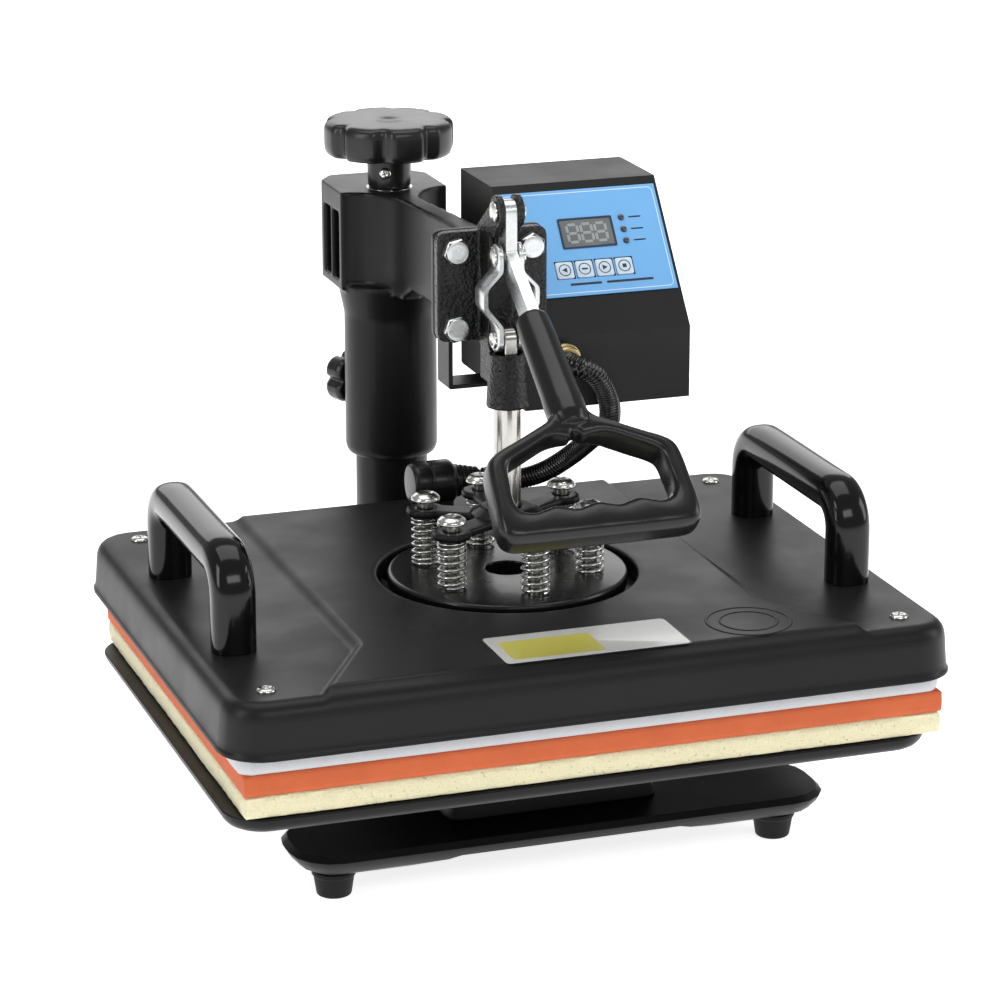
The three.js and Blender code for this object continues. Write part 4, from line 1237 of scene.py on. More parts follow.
    def plate(self) -> None:
        """Builds a blank plate with a plain coloured field, let into the cover's front, ringed by a dark rim
        that paints the shade at its recess's edge.
        """
        x0, x1, y0, y1 = self.label
        centre = ((x0 + x1) / 2, (y0 + y1) / 2 + self.centre_y)
        half = ((x1 - x0) / 2, (y1 - y0) / 2)
        top = self.flat + self.rise
        # Painted shade: a dark rim just wider than the plate stands in for the shaded step of its recess.
        rim = slab(half[0] + 0.9, half[1] + 0.9, 3.6, ((0, top - 0.3), (0.1, top + 0.06), (0.5, top + 0.12)),
                   centre, 6)
        rim.piece("label_shade_rim", Body.PLATEN, "enamel_and_painted_shade", "painted_cover")
        sheet = slab(half[0], half[1], 2.8, ((0, top), (0.1, top + 0.25), (0.35, top + 0.32)), centre, 6)
        sheet.piece("blank_plate", Body.PLATEN, "plate_silver", "cast_aluminium")
        field_centre = (centre[0] - half[0] * 0.4, centre[1] - half[1] * 0.12)
        tint = slab(half[0] * 0.5, half[1] * 0.68, 1.2, ((0, top + 0.3), (0.1, top + 0.4)), field_centre, 5)
        tint.piece("blank_plate_field", Body.PLATEN, "plate_yellow", "brass")

    def ring(self) -> None:
        """Builds a plain embossed ring with a blank disc inside it."""
        x, y = self.badge[0], self.badge[1] + self.centre_y
        top = self.flat + self.rise
        for name, radius, wide in (("badge_ring_outer", 22.0, 0.9), ("badge_ring_inner", 15.0, 0.7)):
            turn = np.linspace(0, math.pi, 7)
            profile = [(radius + wide * math.cos(t), top - 0.05 + 0.42 * math.sin(t)) for t in turn]
            profile.append((radius - wide, top - 0.4))
            profile.insert(0, (radius + wide, top - 0.4))
            form = Form().turn(profile, 72, loop=True).moved(at(x, y, 0))
            form.piece(name, Body.PLATEN, "cover_paint", "painted_cover", 60)


def painted_shade_cross(name: str, body: Body, lay: Matrix, radius: float, arm: float, top: float) -> None:
    """Builds the dark cross that paints the shade in a screw head's recess.

    Args:
        name: The screw's name.
        body: The body it rides on.
        lay: Where the screw is and how it lies.
        radius: Half the cross's span.
        arm: Half the width of an arm.
        top: The head's highest point.
    """
    outline = np.array([(radius, -arm), (radius, arm), (arm, arm), (arm, radius), (-arm, radius), (-arm, arm),
                        (-radius, arm), (-radius, -arm), (-arm, -arm), (-arm, -radius), (arm, -radius),
                        (arm, -arm)])
    # Painted shade: a dark solid cross stands in for the shade inside the head's recess.
    form = Form().loft([raised(outline, top - 0.6), raised(outline * 0.94, top + 0.04)]).moved(lay)
    form.piece(name + "_painted_shade_cross", body, "enamel_and_painted_shade", "zinc")


def pan_screw(name: str, body: Body, place: Point, radius: float, tall: float, turn: float,
              tilt: Matrix | None = None) -> None:
    """Builds a domed cross-head screw on a surface.

    Args:
        name: The screw's name.
        body: The body it rides on.
        place: The middle of its seat.
        radius: The head's radius.
        tall: The head's height.
        turn: The cross's angle in degrees.
        tilt: How it lies, where it isn't upright.
    """
    lay = at(*place) @ (tilt or Matrix()) @ turned_about("Z", turn)
    dome = [(0.01, -0.6), (radius * 0.96, -0.6), (radius, 0.1), (radius * 0.98, tall * 0.35),
            (radius * 0.86, tall * 0.7),
            (radius * 0.62, tall * 0.92), (radius * 0.3, tall), (0.01, tall)]
    Form().turn(dome, 28).moved(lay).piece(name, body, "bright_zinc", "zinc", 50)
    painted_shade_cross(name, body, lay, radius * 0.5, radius * 0.1, tall)


@dataclass
class SideHandle:
    """One glossy U-shaped bar for lifting the platen."""

    node: str
    half_x: float = 11.6
    half_y: float = 10.6
    bend: float = 17.0
    segments: int = 12

    def build(self) -> None:
        """Builds the bar."""
        low, high = box_of(self.node)
        x = (low.x + high.x) / 2
        near, far = low.y + self.half_y + 0.2, high.y - self.half_y - 0.2
        axis = high.z - self.half_x - 0.2
        path = [(x, near, low.z + k) for k in (0.0, 4.0, 10.0)]
        path += [(x, near + self.bend * (1 - math.cos(t)), axis - self.bend * (1 - math.sin(t)))
                 for t in np.linspace(0, math.pi / 2, self.segments)]
        path += [(x, y, axis) for y in np.linspace(near + self.bend, far - self.bend, 9)[1:-1]]
        path += [(x, far - self.bend * (1 - math.sin(t)), axis - self.bend * (1 - math.cos(t)))
                 for t in np.linspace(0, math.pi / 2, self.segments)]
        path += [(x, far, low.z + k) for k in (10.0, 4.0, 0.0)]
        round_section = circle(1.0, 36)
        squared = np.sign(round_section) * np.abs(round_section) ** 0.8
        section = squared * (self.half_x, self.half_y)
        form = Form().tube(np.array(path), section, up=(0, -1, 0))
        made = form.piece(self.node + "_bar", Body.PLATEN, "handle_gloss", "handle_gloss", 50)
        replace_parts(made, self.node)


@dataclass
class Film:
    """The white release film, folded up round the heating plate."""

    rows: tuple[float, ...] = (0.0, 0.35, 1.1, 2.6, 5.0, 7.5, 10.0, 12.2)
    spacing: float = 5.0

    def build(self) -> None:
        low, high = box_of("release_film")
        half, centre = (high - low) / 2, (high + low) / 2
        outline = self.filled(rounded_outline(half.x - 0.3, half.y - 0.3, 8.0, 8))
        random = np.random.default_rng(11)
        waves = np.cumsum(random.normal(0, 1, len(outline)))
        waves -= np.linspace(waves[0], waves[-1], len(waves))
        waves = 0.35 * waves / max(np.abs(waves).max(), 1e-6)
        off_x, off_y = np.abs(np.abs(outline) - (half.x, half.y)).T
        near_corner = np.exp(-(off_x + off_y) / 22)
        form, lines = Form(), []
        centre_xy = np.array((centre.x, centre.y))
        for shrink in (0.3, 0.7):
            lines.append(form.add(raised(outline * shrink + centre_xy, low.z + 0.02)))
        for k, rise in enumerate(self.rows):
            inset = 1.3 * (1 - min(rise / 2.6, 1)) ** 2
            pleat = near_corner * 0.55 * np.sin(np.arange(len(outline)) * 2.1 + k * 0.55)
            tuck = np.abs(waves) + 0.5 * np.maximum(pleat, 0)
            ring = shrunk(outline, inset) - self.away(outline) * tuck[:, None]
            lines.append(form.add(raised(ring + centre_xy, low.z + rise)))
        middle = form.add(raised(outline * 0.02 + centre_xy, low.z + 0.02))
        lines.insert(0, middle)
        for inner, outer in zip(lines, lines[1:]):
            form.strip(outer, inner)
        form.faces.append(tuple(middle))
        made = form.piece("film_wrap", Body.PLATEN, "release_skin", "release_film", 70)
        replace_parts(made, "release_film")
        rise = self.rows[-1] * 2

    def filled(self, outline: np.ndarray) -> np.ndarray:
        """Adds points along the straight sides at the film's spacing.

        Args:
            outline: The outline.

        Returns:
            The outline with the points added.
        """
        points = []
        for start, end in zip(outline, np.roll(outline, -1, axis=0)):
            count = max(1, round(float(np.linalg.norm(end - start)) / self.spacing))
            points += [start + (end - start) * k / count for k in range(count)]
        return np.array(points)

    def away(self, outline: np.ndarray) -> np.ndarray:
        """Gives each edge point's outward direction."""
        return outline - shrunk(outline, 1.0)


@dataclass
class SpringDeck:
    """The round disc, its six screws and the springs that press the platen down."""

    centre_y: float = -53.0
    ring: float = 45.0
    centre_hole: float = 12.0
    skirt: float = 61.0
    wire: float = 0.86
    coil: float = 7.1
    live_turns: float = 5.4
    closed_turns: float = 0.9

    def build(self) -> None:
        """Builds the disc and every screw and spring."""
        self.disc()
        ease_edges("heating_plate", "cast_aluminium", 0.4)
        for k in range(6):
            turn = math.radians(30 + 60 * k)
            x, y = self.ring * math.cos(turn), self.ring * math.sin(turn) + self.centre_y
            self.screw(k + 1, x, y)
            self.spring(k + 1, x, y)

    def disc(self) -> None:
        """Builds the disc with its rolled edge and centre hole."""
        low, high = box_of("spring_disc")
        top, radius = high.z, (high.x - low.x) / 2
        hole, skirt = self.centre_hole, self.skirt
        profile = rounded_profile([(hole, low.z, 0), (skirt, low.z, 0.5), (skirt, 130.5, 0.5),
                                   (radius, 132.5, 0.8), (radius, top, 2.4), (hole, top, 0.9),
                                   (hole, low.z, 0)])
        form = Form().turn(profile[:-1], 96, loop=True).moved(at(0, self.centre_y, 0))
        made = form.piece("disc_pressing", Body.PLATEN, "enamel_and_painted_shade", "painted_casting", 45)
        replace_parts(made, "spring_disc")
        dimple = Form().turn([(0.01, top - 0.3), (2.6, top - 0.3), (2.6, top + 0.08), (2.0, top + 0.1),
                              (0.01, top + 0.1)], 24)
        dimple.moved(at(-38, self.centre_y - 22, 0))
        dimple.piece("disc_hole_plug", Body.PLATEN, "cast_paint", "painted_casting")

    def screw(self, number: int, x: float, y: float) -> None:
        """Builds one long cross-head screw with its shank.

        Args:
            number: The screw's number.
            x: Its middle across.
            y: Its middle in depth.
        """
        name = f"spring_screw_{number}"
        low, high = box_of(name)
        head, shank = (high.x - low.x) / 2, 4.0
        top, seat = high.z, high.z - 4.4
        profile = rounded_profile([(0, low.z, 0), (shank - 0.5, low.z, 0.4), (shank, low.z + 1, 0.2),
                                   (shank, seat, 0.2),
                                   (head - 0.2, seat, 0.3), (head, seat + 0.6, 0.3),
                                   (head * 0.97, seat + 2.0, 1.0),
                                   (head * 0.62, top, 2.0), (0, top, 0)], 5)
        lay = at(x, y, 0) @ turned_about("Z", 37.0 * number)
        turned = Form().turn(profile, 32).moved(lay)
        made = turned.piece(name + "_turned", Body.PLATEN, "bright_zinc", "zinc", 42)
        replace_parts(made, name)
        painted_shade_cross(name, Body.PLATEN, lay, head * 0.52, head * 0.1, top)

    def spring(self, number: int, x: float, y: float) -> None:
        """Builds one compression spring with closed ends.

        Args:
            number: The spring's number.
            x: Its middle across.
            y: Its middle in depth.
        """
        name = f"spring_{number}"
        low, high = box_of(name)
        start, end = low.z + self.wire, high.z - self.wire
        turns = self.live_turns + 2 * self.closed_turns
        t = np.linspace(0, turns, int(turns * 22))
        pitch = 2 * self.wire * 1.04
        closed = self.closed_turns * pitch
        rise = np.interp(t, [0, self.closed_turns, turns - self.closed_turns, turns],
                         [start, start + closed, end - closed, end])
        phase = 2 * math.pi * t + number
        path = np.column_stack([x + self.coil * np.cos(phase), y + self.coil * np.sin(phase), rise])
        made = Form().tube(path, circle(self.wire, 8)).piece(name + "_coil", None, "bright_zinc", "zinc", 70)
        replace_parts(made, name)
        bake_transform(made)


# ------------------------------------------------------------------ toggle, plunger and grip
@dataclass
class Toggle:
    """The plunger, the lever with its links, and the bracket that holds them."""

    y: float = -53.0
    top_pin: float = 337.0
    elbow: float = 313.0
    foot: float = 268.0
    sheet: float = 3.0
    strap_reach: float = 7.0
    rivet_head: tuple[float, float] = (4.9, 1.9)
    bolt_head: tuple[float, float] = (5.3, 3.9)
    rod_ends: tuple[float, float] = (160.4, 252.2)
    rod_radius: float = 7.25

    def build(self) -> None:
        """Builds and dresses the whole toggle."""
        self.rod()
        cast_over("spider_plate", "cast_paint", 0.8, 8)
        ease_edges("lever_bar", "zinc_plate", 0.7, 3)
        cast_over("clamp_bracket", "wrinkle_paint", 0.75, 4)
        for side, name in ((-1, "link_left"), (1, "link_right")):
            self.link(name, side)
        self.pin("link_pin", Body.LEVER, self.elbow)
        self.pin("upper_pivot_pin", Body.ARM, self.top_pin)
        for k in range(1, 5):
            self.bolt(f"bracket_bolt_{k}")

    def rod(self) -> None:
        """Builds the polished rod with its flattened eye and its lock nut."""
        low, _ = box_of("plunger_rod")
        bottom, top = self.rod_ends
        profile = rounded_profile([(0, bottom, 0), (self.rod_radius, bottom, 0.6),
                                   (self.rod_radius, 251.6, 1.6),
                                   (0, top, 0)])
        form = Form().turn(profile, 56).moved(at(0, self.y, 0))
        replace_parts(form.piece("plunger_shaft", Body.PLUNGER, "polished_rod", "polished_steel", 45),
                    "plunger_rod")
        tang = Form()
        turn = np.linspace(0, math.pi, 15)
        arc = [(6.2 * math.cos(t), self.foot + 6.2 * math.sin(t)) for t in turn]
        outline = np.array([(-6.2, 250.5), (6.2, 250.5)] + arc)
        rings = [np.column_stack([np.full(len(outline), x), shrunk(outline, inset)]) for x, inset in
                 ((-3.4, 0.5), (-2.9, 0.0), (2.9, 0.0), (3.4, 0.5))]
        tang.loft(rings).moved(at(0, self.y, 0))
        tang.piece("plunger_eye", Body.PLUNGER, "polished_rod", "polished_steel")
        nut = Form().loft(eased(hexagon(22.6), low.z, 166.9, 0.7, 2)).moved(at(0, self.y, 0))
        nut.piece("plunger_nut", Body.PLUNGER, "zinc_plate", "zinc")

    def link(self, name: str, side: int) -> None:
        """Builds one strap link that bows round the elbow and pinches in at its eyes.

        Args:
            name: The frame part that it replaces.
            side: -1 for the left, 1 for the right.
        """
        low, high = box_of(name)
        inner, bulge = 4.25, max(abs(low.x), abs(high.x)) - self.sheet
        knots = [(inner, low.z), (inner, self.foot + 8), (bulge, self.foot + 18.5),
                 (bulge, self.elbow - 16.5), (inner, self.elbow - 7.5), (inner, high.z)]
        spine = []
        for start, end in zip(knots, knots[1:]):
            count = max(2, round(math.dist(start, end) / 1.1))
            spine += [np.array(start) + (np.array(end) - np.array(start)) * k / count for k in range(count)]
        spine.append(np.array(knots[-1]))
        spine = np.array(spine)
        for _ in range(3):
            spine[1:-1, 0] = (spine[:-2, 0] + 2 * spine[1:-1, 0] + spine[2:, 0]) / 4
        form = Form()
        rings = []
        for x, z in spine:
            beyond = max(self.foot - z, z - self.elbow, 0.0)
            reach = math.sqrt(max(self.strap_reach ** 2 - beyond * beyond, 0.3))
            out = self.sheet
            rings.append(np.array([
                (side * (x + 0.3), -reach, z), (side * x, -reach + 0.4, z), (side * x, reach - 0.4, z),
                (side * (x + 0.3), reach, z), (side * (x + out - 0.5), reach, z),
                (side * (x + out), reach - 0.7, z), (side * (x + out), -reach + 0.7, z),
                (side * (x + out - 0.5), -reach, z)]))
        form.loft(rings).moved(at(0, self.y, 0))
        turn_faces(form)
        made = form.piece(name + "_strap", Body.LINK, "zinc_plate", "zinc", 50)
        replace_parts(made, name)
        self.rivet(name + "_rivet", side, inner + self.sheet - 0.1)

    def rivet(self, name: str, side: int, x: float) -> None:
        """Builds the rivet head at a strap's foot, with a shallow dish in it.

        Args:
            name: The piece's name.
            side: -1 for the left, 1 for the right.
            x: How far out it starts.
        """
        radius, tall = self.rivet_head
        profile = rounded_profile([(0, 0, 0), (radius, 0, 0.2), (radius * 0.97, tall * 0.7, 0.5),
                                   (radius * 0.7, tall, 0.3),
                                   (radius * 0.45, tall * 0.62, 0.3), (0, tall * 0.58, 0)])
        lay = at(0, self.y, self.foot) @ turned_about("Y", 90 * side) @ at(0, 0, x)
        Form().turn(profile, 30).moved(lay).piece(name, Body.LINK, "bright_zinc", "zinc", 60)

    def pin(self, name: str, body: Body, z: float) -> None:
        """Builds a headed pin through the lever.

        Args:
            name: The frame part that it replaces.
            body: The body it rides on.
            z: Its height.
        """
        low, high = box_of(name)
        reach, head = high.x, (high.z - low.z) / 2
        profile = rounded_profile([(0, -reach, 0), (head * 0.5, -reach + 0.3, 0.2), (head, -reach + 1.0, 0.5),
                                   (head, -reach + 2.1, 0.2), (3.9, -reach + 2.2, 0), (3.9, reach - 2.2, 0),
                                   (head, reach - 2.1, 0.2), (head, reach - 1.0, 0.5),
                                   (head * 0.5, reach - 0.3, 0.2),
                                   (0, reach, 0)])
        lay = at(0, self.y, z) @ turned_about("Y", 90)
        made = Form().turn(profile, 32).moved(lay).piece(name + "_turned", body, "bright_zinc", "zinc", 45)
        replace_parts(made, name)

    def bolt(self, name: str) -> None:
        """Builds one hexagon bolt with a chamfered head.

        Args:
            name: The frame part that it replaces.
        """
        low, high = box_of(name)
        x, z = (low.x + high.x) / 2, (low.z + high.z) / 2
        across = min(high.x - low.x, high.z - low.z)
        tall, thread = self.bolt_head
        seat = low.y + tall
        dome = circle(across / 2 * 0.98, 48)
        hexed = hexagon(across)
        head = Form().loft([raised(hexed, 0), raised(hexed, tall - 1.3),
                            raised(shrunk(hexed, 0.5), tall - 0.6)],
                           (True, False))
        head.loft([raised(dome * share, tall - drop)
                   for share, drop in ((0.985, 0.7), (0.95, 0.2), (0.88, 0.0), (0.5, 0.1))])
        head.loft([raised(circle(across * 0.47, 40), z) for z in (-0.01, 0.5)])
        head.loft([raised(circle(thread, 24), z) for z in (seat - high.y, 0.0)])
        lay = at(x, seat, z) @ turned_about("X", 90) @ turned_about("Z", 11 if x < 0 else 27)
        made = head.moved(lay).piece(name + "_forged", Body.ARM, "zinc_plate", "zinc", 30)
        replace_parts(made, name)


def turn_faces(form: Form) -> None:
    """Turns every face of a form round, where its rings ran clockwise."""
    form.faces = [tuple(reversed(face)) for face in form.faces]


@dataclass
class Grip:
    """The moulded hand grip: a round neck on the lever that spreads into a loop.

    Its outlines give the right half as distance from the middle and distance down from the pin.
    """

    y: float = -53.0
    elbow: float = 313.0
    lean: float = 34.0
    bend: float = 9.0
    bend_at: float = 105.0
    neck: tuple[tuple[float, float], ...] = (
        (45.0, 7.4), (45.7, 8.5), (47.5, 9.0), (60.0, 9.7), (78.0, 10.0), (95.0, 10.2), (106.0, 10.7),
        (115.0, 10.4), (121.0, 8.5))
    outer: tuple[tuple[float, float], ...] = (
        (0.0, 105.0), (5.0, 106.0), (9.0, 111.0), (14.0, 116.8), (24.0, 122.5), (36.0, 128.4), (45.0, 132.6),
        (50.2, 137.0), (52.2, 145.0), (53.2, 162.0), (53.8, 176.0), (51.6, 182.4), (45.0, 184.9),
        (25.0, 185.3),
        (0.0, 185.3))
    inner: tuple[tuple[float, float], ...] = (
        (0.0, 124.4), (1.8, 124.8), (3.6, 127.3), (9.0, 126.9), (16.0, 127.8), (28.0, 133.8), (38.5, 139.4),
        (41.2, 143.5), (42.0, 152.0), (42.6, 161.0), (40.0, 167.0), (33.0, 168.8), (27.5, 167.4),
        (22.0, 165.8),
        (16.5, 167.2), (11.0, 168.6), (5.5, 167.2), (0.0, 165.8))
    thick: float = 9.9
    slimming: tuple[tuple[float, float], tuple[float, float]] = ((108.0, 122.0), (0.72, 1.0))

    def build(self) -> None:
        """Builds the neck and the loop as one moulding."""
        form = Form()
        self.band(form, self.mirrored(self.outer), self.mirrored(self.inner))
        form.moved(at(0, 0, -self.bend_at) @ turned_about("X", self.bend) @ at(0, 0, self.bend_at))
        form.loft([raised(circle(radius, 40), -along) for along, radius in reversed(self.neck)])
        lay = at(0, self.y, self.elbow) @ turned_about("X", self.lean - 90)
        made = form.moved(lay).piece("grip_moulding", Body.LEVER, "grip_plastic", "grip_plastic", 60)
        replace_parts(made, "hand_grip")
        soften(made, 0.9, 7)

    def mirrored(self, half: Sequence[Point]) -> np.ndarray:
        """Completes a half outline of side and distance down the lever, evenly spaced and smoothed.

        Args:
            half: Pairs of distance from the middle and distance down the lever.

        Returns:
            The whole outline as rows of the same two distances.
        """
        right = np.array(half)
        closed = np.vstack([right, (right * (-1, 1))[-2:0:-1]])
        around = np.vstack([closed[-2:], closed, closed[:2]])
        line = smooth_path(np.column_stack([around, np.zeros(len(around))]), 1400)[:, :2]
        run = np.concatenate([[0], np.cumsum(np.linalg.norm(np.diff(line, axis=0), axis=1))])
        first = int(np.argmin(np.linalg.norm(line[:400] - closed[0], axis=1)))
        last = 1000 + int(np.argmin(np.linalg.norm(line[1000:] - closed[0], axis=1)))
        spots = np.linspace(run[first], run[last], 181)[:-1]
        return np.stack([np.interp(spots, run, line[:, k]) for k in range(2)], axis=1)

    def band(self, form: Form, outer: np.ndarray, inner: np.ndarray) -> None:
        """Builds the loop between two outlines with a softly pillowed section.

        Args:
            form: The form to add to.
            outer: The loop's outer outline.
            inner: Its inner outline, with as many points.
        """
        shares = [(math.cos(t), math.sin(t)) for t in np.linspace(0, 2 * math.pi, 28, endpoint=False)]
        rings = []
        for a, b in zip(outer, inner):
            middle, half = (a + b) / 2, (a - b) / 2
            slim = float(np.interp(a[1], *self.slimming))
            ring = []
            for c, s in shares:
                across = math.copysign(abs(c) ** 0.6, c)
                deep = math.copysign(abs(s) ** 0.62, s) * self.thick * slim
                spot = middle + half * across
                ring.append((spot[0], deep, -spot[1]))
            rings.append(np.array(ring))
        form.loft(rings, (False, False), True)


# ------------------------------------------------------------------ arm, knob and lock
@dataclass
class Arm:
    """The swing arm casting on the post, with the pressure knob on top."""

    post_y: float = 154.0
    lobes: int = 8

    def build(self) -> None:
        """Builds and dresses the arm, its spindle, knob and lock."""
        cast_over("arm_casting", "cast_paint", 1.1, 6)
        ease_edges("pressure_spindle", "turned_steel", 0.3)
        ease_edges("thrust_washer", "gland_brass", 0.4)
        self.knob()
        self.collar()
        cast_over("lock_knob", "knob_plastic", 0.7, 6)

    def knob(self) -> None:
        """Builds the lobed knob with its domed top and its boss."""
        low, high = box_of("pressure_knob")
        outer = (high.x - low.x) / 2
        rim = lobed(outer, outer - 3.4, self.lobes, 192)
        top = high.z
        levels = [(0.52, top - 18.6), (0.62, top - 19.6), (0.86, top - 20.3), (0.935, top - 19.8),
                  (0.975, top - 18.4),
                  (0.994, top - 16.0), (1.0, top - 13.0), (1.0, top - 6.2), (0.998, top - 4.6),
                  (0.988, top - 3.0),
                  (0.968, top - 1.7), (0.94, top - 0.8), (0.9, top - 0.3), (0.84, top - 0.05), (0.7, top),
                  (0.45, top - 0.15), (0.25, top - 0.45), (0.16, top - 0.7), (0.12, top - 1.2),
                  (0.03, top - 1.4)]
        form = Form()
        even = circle(outer - 1.6, 192)
        rings = []
        for share, z in levels:
            mix = np.clip((share - 0.45) / 0.45, 0, 1)
            rings.append(raised((rim * mix + even * (1 - mix)) * share, z))
        form.loft(rings)
        boss = rounded_profile([(9, low.z, 0), (12.2, low.z, 0.8), (12.5, low.z + 5, 0.3),
                                (12.8, top - 19, 1.0), (9, top - 18, 0)])
        form.turn(boss, 56)
        form.moved(at(0, self.post_y, 0))
        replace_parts(form.piece("knob_moulding", Body.KNOB, "knob_plastic", "knob_plastic", 50),
                    "pressure_knob")
        tilt = turned_about("Z", -28) @ turned_about("X", 90)
        place = (tilt @ Vector((0, 0, 12.3))) + Vector((0, self.post_y, low.z + 9.4))
        pan_screw("knob_set_screw", Body.KNOB, place, 3.5, 2.1, 20, tilt)

    def collar(self) -> None:
        """Builds the bright clip under the knob's boss."""
        low, _ = box_of("pressure_knob")
        bottom, top = low.z - 1.6, low.z - 0.4
        profile = rounded_profile([(9.2, bottom, 0), (13.4, bottom, 0.3), (13.4, top, 0.3), (9.2, top, 0)])
        form = Form().turn(profile, 56, loop=True).moved(at(0, self.post_y, 0))
        form.piece("knob_clip", Body.KNOB, "bright_zinc", "zinc")
        for side in (-1, 1):
            ear = slab(2.2, 1.6, 1.2, ((0.3, bottom), (0, bottom + 0.3), (0, top - 0.3), (0.3, top)), (0, 0),
                       5)
            ear.moved(at(side * 2.6 - 3.0, self.post_y - 14.6, 0))
            ear.piece(f"knob_clip_ear_{'left' if side < 0 else 'right'}", Body.KNOB, "bright_zinc", "zinc")


# ------------------------------------------------------------------ controller
@dataclass
class Controller:
    """The folded sheet box with its sloping panel, on a strap behind the bracket."""

    left: float = 22.0
    crest: tuple[float, float] = (37.0, 330.0)
    fold: tuple[float, float] = (-20.0, 257.0)
    panel: tuple[float, float] = (92.0, 64.0)
    margin: tuple[float, float] = (2.0, 5.5)
    window: tuple[float, float, float, float] = (55.5, 30.5, 18.2, 17.0)
    keys: tuple[float, ...] = (53.0, 64.6, 76.3, 87.9)
    key_down: float = 48.3
    key_ring: tuple[float, float] = (3.3, 0.28)
    lamp_x: float = 92.4
    lamp_downs: tuple[float, ...] = (19.2, 26.4, 33.3)

    def build(self) -> None:
        """Builds and dresses the controller."""
        for name in ("controller_shell", "controller_back_plate"):
            ease_edges(name, "box_paint", 0.7, 3)
        ease_edges("controller_strap", "cast_paint", 0.5, 2)
        ease_edges("mains_inlet", "handle_gloss", 0.5)
        ease_edges("power_rocker", "handle_gloss", 0.6)
        ease_edges("control_board", "board_green", 0.15, 1)
        dress("panel_overlay", "panel_blue")
        self.border()
        self.display()
        self.lamps()
        self.key_tops()
        self.shell_screws()

    def slope(self) -> Matrix:
        """Gives the sloping face's own frame: Y runs up it and Z points out of it."""
        rise = math.atan2(self.crest[1] - self.fold[1], self.crest[0] - self.fold[0])
        return at(0, self.crest[0], self.crest[1]) @ Matrix.Rotation(rise, 4, "X")

    def flat(self, name: str, finish: str, box: Point, corner: float, heights: Point) -> None:
        """Builds a thin rounded plate on the face.

        Args:
            name: The piece's name.
            finish: Its finish.
            box: Left, width, distance down from the crest, and height.
            corner: Its corners' radius.
            heights: Its underside's and its top's height off the face.
        """
        x, width, down, height = box
        low, high = heights
        form = slab(width / 2, height / 2, corner, ((0, low), (0, high - 0.08), (0.08, high)),
                    (x + width / 2, -down - height / 2), 6)
        form.moved(self.slope()).piece(name, Body.ARM, finish, "panel_blue")

    def outline(self, name: str, box: Point, corner: float, wide: float, finish: str, heights: Point) -> None:
        """Builds a thin line round a rounded rectangle on the face.

        Args:
            name: The piece's name.
            box: Left, width, distance down from the crest, and height.
            corner: Its corners' radius.
            wide: The line's width.
            finish: Its finish.
            heights: Its underside's and its top's height off the face.
        """
        x, width, down, height = box
        centre = np.array((x + width / 2, -down - height / 2))
        outer = rounded_outline(width / 2, height / 2, corner, 8) + centre
        inner = rounded_outline(width / 2 - wide, height / 2 - wide, max(corner - wide, 0.4), 8) + centre
        rings = [raised(outer, heights[0]), raised(outer, heights[1]), raised(inner, heights[1]),
                 raised(inner, heights[0])]
        form = Form().loft(rings, (False, False), True)
        form.moved(self.slope()).piece(name, Body.ARM, finish, "panel_blue")

    def border(self) -> None:
        """Builds the pale line round the panel and the plain bar below the keys."""
        x, down = self.left + self.margin[0], self.margin[1]
        self.outline("panel_border", (x + 1.6, self.panel[0] - 3.2, down + 1.6, self.panel[1] - 3.2), 3.0,
                     0.45,
                     "panel_line", (0.78, 0.88))
        for k, (share, wide) in enumerate(((0.33, 0.2), (0.56, 0.3))):
            spot = x + self.panel[0] * share
            self.flat(f"panel_rule_{k + 1}", "panel_ink",
                      (spot, self.panel[0] * wide, down + self.panel[1] - 7.6, 1.5), 0.7, (0.75, 0.86))

    def display(self) -> None:
        """Builds the window frame and three unlit digits."""
        x, width, down, height = self.window
        down += self.margin[1]
        self.outline("window_frame", (x - 0.7, width + 1.4, down - 0.7, height + 1.4), 0.9, 1.1, "frame_navy",
                     (0.4, 1.2))
        self.flat("window_glass", "window_grey", (x + 0.3, width - 0.6, down + 0.3, height - 0.6),
                  0.6, (0.25, 0.95))
        digit_w, digit_h = width * 0.2, height * 0.62
        for n in range(3):
            left = x + width * (0.13 + 0.27 * n)
            top = down + height * 0.19
            for k, level in enumerate((0.5, 0.0, 1.0)):
                self.flat(f"digit_{n + 1}_bar_{k + 1}", "segment_pale",
                          (left + 0.7, digit_w - 1.4, top + digit_h * level - 0.8, 1.6), 0.35, (0.9, 1.02))
            for k, (edge, level) in enumerate(((0, 0), (1, 0), (0, 1), (1, 1))):
                self.flat(f"digit_{n + 1}_side_{k + 1}", "segment_pale",
                          (left + edge * digit_w - 0.8, 1.6, top + digit_h * 0.5 * level + 0.6,
                           digit_h * 0.5 - 1.2),
                          0.35, (0.9, 1.02))

    def lamps(self) -> None:
        """Builds the three unlit lamps' lenses and the plain marks beside them."""
        for k, down in enumerate(self.lamp_downs, 1):
            spot = down + self.margin[1]
            dome = [(0.01, 0.7), (1.75, 0.7), (1.75, 1.1), (1.5, 1.75), (0.9, 2.15), (0.01, 2.25)]
            form = Form().turn(dome, 24).moved(at(self.lamp_x, -spot, 0)).moved(self.slope())
            form.piece(f"lamp_lens_{k}", Body.ARM, "lamp_lens", "panel_blue")
            self.flat(f"lamp_mark_{k}", "panel_ink", (self.lamp_x + 4.2, 7.5, spot - 0.5, 1.0), 0.4,
                      (0.75, 0.86))

